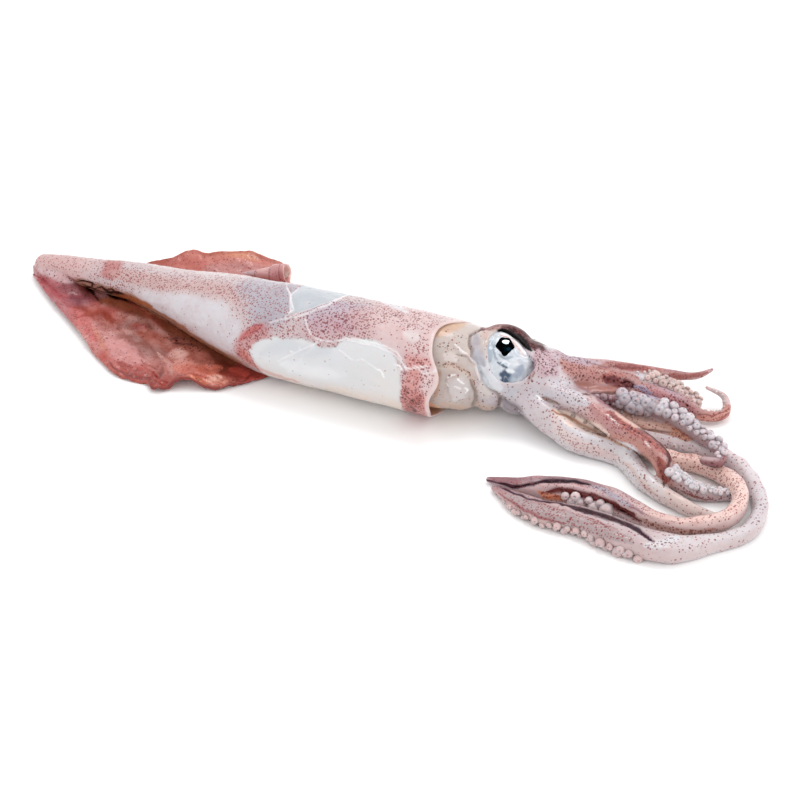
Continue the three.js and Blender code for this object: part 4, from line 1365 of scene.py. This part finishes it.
armStrokes = {
    "sheet": touch([[563, 362], [580, 371], [598, 379]], 4, 12, "#BE8882", dots=1.1, dark=0.9),
    "sheetTop": touch([[556, 352], [574, 358], [590, 364]], 3, 4, "#BFA6AF", dots=1.0, dark=0.7),
    "sheetEdge": touch([[576, 383], [590, 387], [606, 389], [626, 388]], 2.2, 3, "#A66C62", dots=0.3),
    "sheetShade": touch([[582, 393], [600, 394], [616, 392], [630, 390]], 0.5, 1.4, "#6B4038", lift=-0.6),
    "farTopLine": touch([[570, 356], [586, 361], [600, 363]], 0.3, 2, "#BBB1C0", strength=0.7),
    "farBody": touch([[600, 367], [620, 364], [640, 366], [660, 370]], 3.5, 3.5, "#B27A75", dots=1.0,
                     dark=0.5),
    "farRed": touch([[616, 366], [638, 367], [650, 370]], 1.6, 4, "#A65850", dots=1.6, dark=0.6),
    "farLine": touch([[586, 362], [606, 367], [624, 367], [642, 368]], 0.3, 0.9, "#7A4646", strength=0.75),
    "farEnd": touch([[668, 375], [690, 377], [706, 373]], 1.4, 2.4, "#9A5650", dots=1.0),
    "farEndTop": touch([[664, 370], [684, 372], [704, 371]], 0.8, 1.4, "#A27479"),
    "farTip": touch([[710, 369], [715, 365]], 1, 2, "#BC9595", dots=0.4),
    "hookDark": touch([[603, 377], [612, 380], [622, 383], [633, 386]], 3.6, 4, "#6C1213", dots=1.8,
                      dark=1.1),
    "hookBlack": touch([[622, 383], [636, 386]], 1.6, 4, "#2A0B0E", dots=1.8, dark=1),
    "hookRedTop": touch([[600, 377], [612, 373], [624, 376]], 1.1, 2, "#B8685F", strength=0.8),
    "hookViolet": touch([[636, 386], [648, 393], [660, 398]], 1.5, 4, "#968AA6", dots=1.2, dark=0.9),
    "hookStrip": touch([[648, 387], [664, 396], [680, 404], [696, 411]], 3, 2.6, "#BE8488", dots=1.15,
                       dark=0.9),
    "hookShine": touch([[672, 405], [680, 408], [688, 410]], 0.4, 0.8, "#F2E8EB"),
    "hookBend": touch([[696, 418], [710, 419], [723, 414], [730, 409]], 3, 2.4, "#CE8F82", dots=1.1,
                      dark=0.6),
    "hookLine": touch([[696, 413], [712, 416], [724, 412], [731, 407]], 0.35, 0.8, "#7E3A3C", strength=0.85),
    "hookUnder": touch([[704, 424], [718, 421], [729, 413]], 0.6, 1, "#9C5044"),
    "hookEnd": touch([[731, 404], [722, 396], [712, 389], [704, 386]], 2, 2.4, "#D3BCBD", dots=0.35,
                     dark=0.1),
    "suckeredBase": touch([[598, 397], [612, 403], [620, 408]], 4, 4, "#A27680", dots=1.0, dark=1.0),
    "suckeredSide": touch([[664, 425], [680, 436], [694, 446], [706, 452]], 2.8, 3.2, "#CE9074", dots=1.3,
                          dark=0.9),
    "suckeredCurl": touch([[724, 448], [728, 460], [716, 466], [702, 463]], 3, 2.5, "#946468", dots=0.5,
                          dark=0.9),
    "curlEdge": touch([[700, 458], [699, 463], [706, 468], [718, 468], [725, 465]], 0.5, 0.9, "#3A1A24"),
    "redWhite": touch([[550, 382], [570, 394], [586, 404]], 5, 5, "#D2CCD2", dots=0.9, dark=0.8),
    "redRise": touch([[592, 406], [606, 418], [620, 432]], 4, 6, "#BE8C8A", dots=0.9, dark=0.4),
    "redBody": touch([[608, 413], [624, 422], [640, 431], [656, 441], [666, 453]], 3.6, 5, "#B05A50",
                     dots=1.7, dark=0.9),
    "redFlank": touch([[612, 434], [628, 443], [642, 450], [652, 462], [658, 474]], 2, 3.2, "#C69084",
                      dots=0.7, dark=0.2),
    "redEdge": touch([[634, 426], [650, 433], [660, 441], [668, 451], [670, 460], [665, 471], [664, 486]],
                     1.1, 2.2, "#4A0E0C", dots=1.6, dark=0.9),
    "redLower": touch([[659, 458], [664, 470], [666, 482]], 2.6, 4, "#9A4632", dots=1.8, dark=0.9),
    "redShine": touch([[606, 414], [613, 420], [621, 427]], 0.35, 0.8, "#F4E8E6"),
    "redShineLow": touch([[644, 441], [650, 448]], 0.3, 0.8, "#F4E8E6"),
    "redTipEdge": touch([[680, 490], [692, 496], [704, 499], [714, 499]], 0.5, 1.1, "#84403E", dots=1.2,
                        dark=0.6),
    "frontDots": touch([[553, 412], [558, 430], [574, 442], [590, 449], [616, 458]], 3.5, 3.5, "#DCCCCB",
                       dots=1.0, dark=0.15),
    "frontPale": touch([[560, 420], [580, 432], [604, 440]], 2, 3, "#DAD6DA", dots=0.3, dark=0.2),
    # Painted highlight along the front arm's upper side.
    "frontHighlight": touch([[614, 441], [632, 449], [644, 464], [654, 480]], 2, 3, "#E9E7EC", dots=0.1),
    "frontEdge": touch([[622, 461], [633, 470], [641, 482], [656, 495]], 0.5, 3, "#CFB3AA", strength=0.7,
                       dots=1.2, dark=0.1),
    "frontEnd": touch([[668, 492], [684, 500], [700, 510]], 4, 4, "#D6C2BC", dots=0.3),
    "innerBeige": touch([[556, 411], [572, 420], [590, 427], [608, 435]], 4, 4, "#FBE8DC", dots=0.1),
    "innerShade": touch([[552, 411], [570, 418], [586, 427], [612, 440], [630, 450]], 0.4, 2.4, "#B98A6C"),
    "innerStart": touch([[542, 397], [550, 400], [558, 405]], 0.6, 2, "#A08A80", lift=-0.6),
    "underPale": touch([[618, 412], [636, 422], [656, 428], [670, 430]], 4, 3, "#DBB3A4", dots=0.3, dark=0.2),
    "underShade": touch([[640, 429], [656, 431], [672, 432]], 0.5, 1.4, "#8A655B"),
}


def addBall(centre, radii, turn=(0, 0, 0), segments=48, rings=32):
    bpy.ops.mesh.primitive_uv_sphere_add(segments=segments, ring_count=rings, radius=1)
    ball = bpy.context.object
    ball.scale = [r / 1000 for r in radii]
    ball.rotation_euler = turn
    ball.location = (np.array(centre) - middle) / 1000
    bpy.ops.object.transform_apply(location=True, rotation=True, scale=True)
    return ball


def addNeck():
    line = curveThrough(head["neck"], 1.0)
    piece, t, across = gridSheet("neckPart", len(line["places"]) - 1, 48)
    turn = across * 2 * math.pi
    radius = head["neckRadius"] - head["neckNarrowing"] * smooth(t * 1.3 - 0.3)
    radius = radius * np.where((t <= 0) | (t >= 1), 0, 1)
    spoke = beside(line, t, np.cos(turn), np.sin(turn))
    settle(piece, lineReading(line, t, "places") + radius[:, None] * spoke)
    closeUp(piece)
    return piece


def runTogether(parts, name):       # one closed skin round all of the parts
    deselect()
    for part in parts:
        part.select_set(True)
    bpy.context.view_layer.objects.active = parts[0]
    bpy.ops.object.join()
    piece = bpy.context.object
    piece.name = piece.data.name = name
    remesh = piece.modifiers.new("remesh", "REMESH")
    remesh.mode = "VOXEL"
    remesh.voxel_size = head["voxel"] / 1000
    bpy.ops.object.modifier_apply(modifier="remesh")
    return piece


def soften(piece, weights, times):
    group = piece.vertex_groups.new(name="soft")
    for i, weight in enumerate(weights):
        if weight > 0.01:
            group.add([i], float(weight), "REPLACE")
    ease = piece.modifiers.new("ease", "SMOOTH")
    ease.factor = 0.5
    ease.iterations = times
    ease.vertex_group = "soft"
    pick(piece)
    bpy.ops.object.modifier_apply(modifier="ease")
    piece.vertex_groups.clear()


batches = 60        # points are measured in parts, to save memory


def onLimbs(points, looks):         # the nearest limb to each point, how far along it, and round it
    best = np.full(len(points), 1e9)
    which = np.zeros(len(points), int)
    t, angle = np.zeros(len(points)), np.zeros(len(points))
    for index, look in enumerate(looks):
        line = look["line"]
        places = line["places"]
        share = np.linspace(0, 1, len(places))
        radius = np.maximum(limbRadius(look, share), limb["leastReach"])
        for rows in np.array_split(np.arange(len(points)), batches):
            gap = points[rows][:, None] - places[None]
            ratio = np.sqrt((gap ** 2).sum(axis=2)) / radius
            k = ratio.argmin(axis=1)
            nearest = ratio[np.arange(len(rows)), k]
            own = gap[np.arange(len(rows)), k]
            closer = nearest < best[rows]
            hit = rows[closer]
            best[hit], which[hit], t[hit] = nearest[closer], index, share[k[closer]]
            across = (own * line["side"][k]).sum(axis=1)[closer]
            high = (own * line["up"][k]).sum(axis=1)[closer]
            angle[hit] = np.degrees(np.arctan2(across, high))
    return which, t, angle, best


def makeHeadAndArms():
    deselect()
    parts = [addNeck()]
    for centre, radii, turn in head["balls"]:
        parts.append(addBall(centre, radii, turn))
    for look in eyes.values():
        axes = eyeAxes(look)
        turn = Matrix(axes.tolist()).to_euler()
        wide = eye["radius"] + look["wall"]
        drop = np.array(look["centre"]) - axes[:, 2] * head["orbitDrop"]
        parts.append(addBall(drop, [wide, wide, eye["depth"] + look["wall"]], turn))
        wide = eye["radius"] + eye["lid"]
        parts.append(addBall(look["centre"], [wide, wide, eye["depth"] + eye["lid"]], turn))
    skinned = {**arms, **folds}
    looks = list(skinned.values())
    for name, look in skinned.items():
        part, _, _, points = limbGrid(name, look, **armMesh)
        settle(part, points)
        closeUp(part)
        parts.append(part)
    piece = runTogether(parts, "headAndArms")
    points = pointsOf(piece)
    which, t, angle, ratio = onLimbs(points, looks)
    run = t * np.array([look["line"]["length"] for look in looks])[which]
    crown = ramp(run, *head["crown"])
    soften(piece, np.ones(len(points)), head["easing"])
    soften(piece, crown, head["crownEasing"])
    points = pointsOf(piece)
    for look in eyes.values():
        points = openLids(points, look)
    settle(piece, points)
    paint = paintHead(points)
    for index, look in enumerate(looks):
        rows = which == index
        own = paintLimb(look, t[rows], angle[rows])
        blend = ramp(run[rows], *head["limbPaint"]) * ramp(ratio[rows], *head["limbPaintEdge"])
        paint.tint[rows] += blend[:, None] * (own.tint - paint.tint[rows])
        paint.dots[rows] += blend * (own.dots - paint.dots[rows])
        paint.dark[rows] += blend * (own.dark - paint.dark[rows])
    brushOver(piece, paint, {**neckStrokes, **headStrokes, **armStrokes})
    finish(piece, wetMaterial("headSkin", wetFlesh), "flesh", "squid")


def paintHead(points):
    paint = Paint(len(points), "#CFC6CB", dots=0.2, dark=0.5)
    x, y, z = points.T
    neckPart = ramp(x, 199, 194)
    paint.wash(neckPart, "#CABDB7")
    paint.wash(neckPart * ramp(z, 10, 3) * 0.8, "#CDB9AC")
    paint.wash(ramp(z, 9, 3) * (1 - neckPart) * 0.7, "#B7A6A4")
    paint.speckle(neckPart, dots=0.08, dark=0.3)
    return paint


# Eyes: flattened silver balls behind soft lids, each with a black pupil and a wet coat

eyes = {
    "eye_left": {"centre": [200, 13, 21.4], "looks": [0.27, -0.5, 0.82], "mirror": 1, "wall": 1.5},
    "eye_right": {"centre": [202, 25.5, 10], "looks": [0.1, 0.72, -0.68], "mirror": -1, "wall": 0.5},
}
eye = {"radius": 11.6, "depth": 7.2, "lid": 0.4, "pupilAt": [0.4, 2.7], "pupilDome": 0.1, "pupilRise": 0.12,
       "pupilFace": 0.7, "pupilFoot": -0.5, "lidSink": 0.9, "lidRidge": 0.35, "lidReach": 14}
# Across and up from the eye's middle, in millimetres, as one looks into it
lidOpening = [[-1.3, 9.3], [1.0, 8.2], [3.4, 6.2], [6.0, 3.4], [8.6, 0.4], [10.8, -1.9], [10.7, -4.4],
              [9.1, -6.6], [6.6, -8.6], [3.6, -9.6], [0.3, -9.8], [-2.1, -8.9], [-3.9, -7.0], [-5.3, -3.3],
              [-5.8, 1.8], [-5.2, 6.2], [-3.6, 8.6]]
pupilReach = [[-180, 3.5], [-150, 2.85], [-137, 2.8], [-120, 2.95], [-95, 4.0], [-65, 3.0], [-35, 2.75],
              [-4, 3.3], [25, 2.9], [50, 3.15], [68, 3.6], [90, 3.45], [115, 3.9], [135, 3.35], [155, 3.2],
              [180, 3.5]]
eyeStrokes = {
    "pupilRing": touch([[0.5, 2.7]], 4.2, 0.5, "#E4E6EA"),
    "pupilShade": touch([[0.5, 2.6]], 3.4, 0.5, "#6F7884"),
    # Painted shade: grey-blue along the eye's left edge.
    "leftEdgeShade": touch([[-4.6, -2.8], [-5.0, 1.5], [-4.4, 5.7]], 0.5, 1.0, "#A3AFBD"),
    "rightGlow": touch([[5.5, -2.5], [6.8, -0.8]], 2, 2.5, "#C9CBD4"),
    "lidShine": touch([[-1.6, 8.2], [1.6, 6.8], [4.8, 3.6], [7.8, 0.2]], 0.35, 0.5, "#F2EDEF"),
    "lidPink": touch([[-1.8, 7.5], [1.3, 6.1], [4.3, 3.0], [7.2, -0.4]], 0.1, 0.5, "#D9B2AC"),
    "blueMark": touch([[-0.7, -7.3], [1.3, -7.4], [0.6, -8.7], [-0.2, -9.8]], 1.0, 1.8, "#0A2F54"),
    "blueLight": touch([[2.2, -8.6], [4.2, -8.2]], 0.3, 1.6, "#9DB2C2", strength=0.6),
    "slitDark": touch([[-2.2, -3.3], [-0.1, -4.6], [1.6, -5.2]], 0.2, 0.4, "#17364C"),
    "slitBlue": touch([[-1.4, -3.4], [0.2, -4.2]], 0.1, 0.25, "#4B7A96"),
    # Painted highlight: a white patch to the lower right of the pupil.
    "paintedHighlightPatch": touch([[2.2, -2.4], [4.8, -3.6]], 0.5, 1.3, "#EDEEF2"),
    # Painted shade: a grey-blue curve on the eye's lower right.
    "greyShadeCurve": touch([[6.4, -4.0], [5.6, -6.0], [3.4, -7.4]], 0.7, 1.6, "#98A1B2"),
    # Painted highlight: a pale spot below the pupil.
    "paintedHighlightSpot": touch([[1.0, -5.9], [3.6, -6.2]], 0.3, 0.9, "#E4E8EE"),
    "innerRing": touch([[-3.1, 4.4], [-3.7, 1.5], [-3.0, -1.6], [-1.8, -3.0]], 0.05, 0.45, "#7F8B9A"),
    "lowerRing": touch([[-2.0, -0.4], [0.2, -2.2], [2.9, -1.2]], 0.1, 0.8, "#909AA8"),
}

pupilStrokes = {
    # Painted reflection: the overhead lamp's catch-light near the pupil's top, and a dimmer one under it.
    "paintedCatchLight": touch([[-0.4, 4.4], [0.6, 4.2], [1.5, 4.5]], 0.55, 0.35, "#BFCBD4"),
    "paintedCatchLightLow": touch([[0.2, 3.8], [1.2, 3.7]], 0.3, 0.4, "#8D9CA8"),
    "blue": touch([[1.0, 1.2], [2.0, 1.8]], 0.2, 0.8, "#0E2A3C"),
}


def eyeAxes(look):                  # across, up and out of the eye, as columns
    out = np.array(look["looks"], float)
    out /= np.linalg.norm(out)
    across = np.cross([0, 0, 1], out)
    across /= np.linalg.norm(across)
    return np.stack([across, np.cross(out, across), out], axis=1)


def globeHeight(flat):
    share = np.clip((flat ** 2).sum(axis=1) / eye["radius"] ** 2, 0, 1)
    return eye["depth"] * np.sqrt(1 - share)


def openLids(points, look):         # sinks the skin over the eye, inside the lids' edge
    axes = eyeAxes(look)
    own = (points - look["centre"]) @ axes
    flat = own[:, :2] * [look["mirror"], 1]
    depth = depthInside(flat, lidOpening)
    over = (own[:, 2] > -1) & (np.linalg.norm(own, axis=1) < eye["lidReach"])
    sink = ramp(depth, -0.2, 0.7) * over
    target = globeHeight(own[:, :2]) - eye["lidSink"]
    ridge = eye["lidRidge"] * hump(depth, -0.9, 0.7) * over
    own[:, 2] += np.minimum(target - own[:, 2], 0) * sink + ridge
    return np.array(look["centre"]) + own @ axes.T


eyeLook = {
    "tint": "#CBD1D9", "foil": "#B3BDC8", "foilSize": 6, "foilAmount": 0.35, "crease": "#F4F5F7",
    "creaseSize": 5, "creaseAmount": 0.5, "bump": 0.45, "roughness": 0.22, "metal": 0.15, "coat": 0.9,
    "coatRoughness": 0.04,
}
pupilLook = {"tint": "#020304", "haze": "#0B1E2C", "hazeSize": 2.2, "hazeAmount": 0.3, "roughness": 0.08}


def eyeMaterial():
    recipe = Recipe("eyeSilver")
    place = recipe.place()
    foil = recipe.noise(place, eyeLook["foilSize"], 1, 0.4)
    ridge = (recipe.noise(recipe.shift(place, (0.01, 0, 0)), eyeLook["creaseSize"], 1, 0.4) - 0.5).size()
    shade = foil.rise(0.45, 0.7) * eyeLook["foilAmount"]
    colour = recipe.mix(shade, recipe.attribute("tint"), linear(eyeLook["foil"]))
    crease = (1 - ridge.rise(0.0, 0.03)) * foil.rise(0.4, 0.6) * eyeLook["creaseAmount"]
    colour = recipe.mix(crease, colour, linear(eyeLook["crease"]))
    recipe.set({
        "Base Color": colour, "Roughness": eyeLook["roughness"], "Metallic": eyeLook["metal"],
        "Normal": recipe.bump(foil * 1.5 + ridge.rise(0.0, 0.2), eyeLook["bump"]),
        "Coat Weight": eyeLook["coat"], "Coat Roughness": eyeLook["coatRoughness"],
    })
    return recipe.material


def pupilMaterial():
    recipe = Recipe("pupilBlack")
    haze = recipe.noise(recipe.place(), pupilLook["hazeSize"], 2).rise(0.52, 0.66) * pupilLook["hazeAmount"]
    colour = recipe.mix(haze, recipe.attribute("tint"), linear(pupilLook["haze"]))
    recipe.set({"Base Color": colour, "Roughness": pupilLook["roughness"], "Metallic": 1.0})
    return recipe.material


def finishEye(piece, tint, flat, strokes, material, name):
    paint = Paint(len(flat), tint)
    paint.stroke(flat, np.ones(len(flat)), strokes)
    paint.store(piece)
    finish(piece, material, "eye", name)


def makeGlobe(name, look, material):
    deselect()
    axes = eyeAxes(look)
    turn = Matrix(axes.tolist()).to_euler()
    ball = addBall(look["centre"], [eye["radius"], eye["radius"], eye["depth"]], turn, 120, 80)
    ball.name = ball.data.name = name + "_globe"
    flat = ((pointsOf(ball) - look["centre"]) @ axes)[:, :2] * [look["mirror"], 1]
    finishEye(ball, eyeLook["tint"], flat, eyeStrokes, material, name)


def makePupil(name, look, material):
    pupil, share, around = gridSheet(name + "_pupil", 60, 144)
    degrees = around * 360 - 180
    face = eye["pupilFace"]
    out = np.where(share < face, share / face, (1 - share) / (1 - face)) * reading(pupilReach, degrees)
    turn = np.radians(degrees)
    flat = np.stack([out * np.cos(turn), out * np.sin(turn)], axis=1) + eye["pupilAt"]
    edge = np.clip(share / face, 0, 1)
    dome = eye["pupilRise"] + eye["pupilDome"] * (1 - edge ** 2)
    high = globeHeight(flat) + np.where(share < face, dome, eye["pupilFoot"])
    own = np.stack([flat[:, 0] * look["mirror"], flat[:, 1], high], axis=1)
    settle(pupil, own @ eyeAxes(look).T + look["centre"])
    finishEye(pupil, pupilLook["tint"], flat, pupilStrokes, material, name)


# Table, lights and camera

stageLook = {"floor": "#FBFBFB", "floorShade": "#F6F6F6", "floorSize": 6, "floorRoughness": 0.9,
             "floorShine": 0.1, "world": 1.18, "lampTarget": (0.03, 0, 0)}
lamps = [
    {"name": "topLight", "place": (-0.08, 0.30, 0.97), "size": (0.36, 0.23), "power": 1.5},
    {"name": "sideLight", "place": (0.7, 0.35, 0.75), "size": (0.4, 0.4), "power": 1.2},
]
camera = {"eye": [327.40, -536.64, 427.41], "target": [12.50, -13.73, 0], "lens": 94.185, "sensor": 36,
          "frame": 800}


def makeTable():
    deselect()
    bpy.ops.mesh.primitive_plane_add(size=stageLook["floorSize"], location=(0, 0, 0))
    floor = bpy.context.object
    floor.name = "table"
    recipe = Recipe("tableWhite")
    faint = recipe.noise(recipe.place(), 400, 2)
    shade = linear(stageLook["floorShade"])
    colour = recipe.mix(faint.rise(0.3, 0.8) * 0.3, linear(stageLook["floor"]), shade)
    recipe.set({"Base Color": colour, "Roughness": stageLook["floorRoughness"],
                "Specular IOR Level": stageLook["floorShine"]})
    floor.data.materials.append(recipe.material)
    print("table")


def aim(thing, target):
    direction = Vector(target) - thing.location
    thing.rotation_euler = direction.to_track_quat("-Z", "Y").to_euler()


def addLamp(look):
    light = bpy.data.lights.new(look["name"], "AREA")
    light.shape = "RECTANGLE"
    light.size, light.size_y = look["size"]
    light.energy = look["power"]
    thing = bpy.data.objects.new(look["name"], light)
    bpy.context.collection.objects.link(thing)
    thing.location = look["place"]
    aim(thing, stageLook["lampTarget"])


def makeStudio():
    world = bpy.data.worlds.new("studio")
    bpy.context.scene.world = world
    world.use_nodes = True
    sky = world.node_tree.nodes["Background"]
    sky.inputs["Color"].default_value = (1, 1, 1, 1)
    sky.inputs["Strength"].default_value = stageLook["world"]
    for lamp in lamps:
        addLamp(lamp)
    bpy.context.scene.view_settings.view_transform = "Standard"
    view = bpy.data.cameras.new("camera")
    thing = bpy.data.objects.new("camera", view)
    bpy.context.collection.objects.link(thing)
    thing.location = [v / 1000 for v in camera["eye"]]
    view.lens = camera["lens"]
    view.sensor_width = camera["sensor"]
    view.clip_start = 0.01
    aim(thing, [v / 1000 for v in camera["target"]])
    bpy.context.scene.camera = thing
    print("studio")


makeTable()
makeStudio()
makeMantle()
makeFin("near_fin", nearFin, nearFinMiddle, paintNearFin, finStrokes)
farFin["line"] = curveThrough(farFin["edge"], 0.5)
makeFin("far_fin", farFin, farFinMiddle, paintFarFin, {})
makeRoll()
makeHeadAndArms()
for tentacleName, tentacleLook in tentacles.items():
    makeTentacle(tentacleName, tentacleLook)
makeSuckers()
silver, black = eyeMaterial(), pupilMaterial()
for eyeName, oneEye in eyes.items():
    makeGlobe(eyeName, oneEye, silver)
    makePupil(eyeName, oneEye, black)
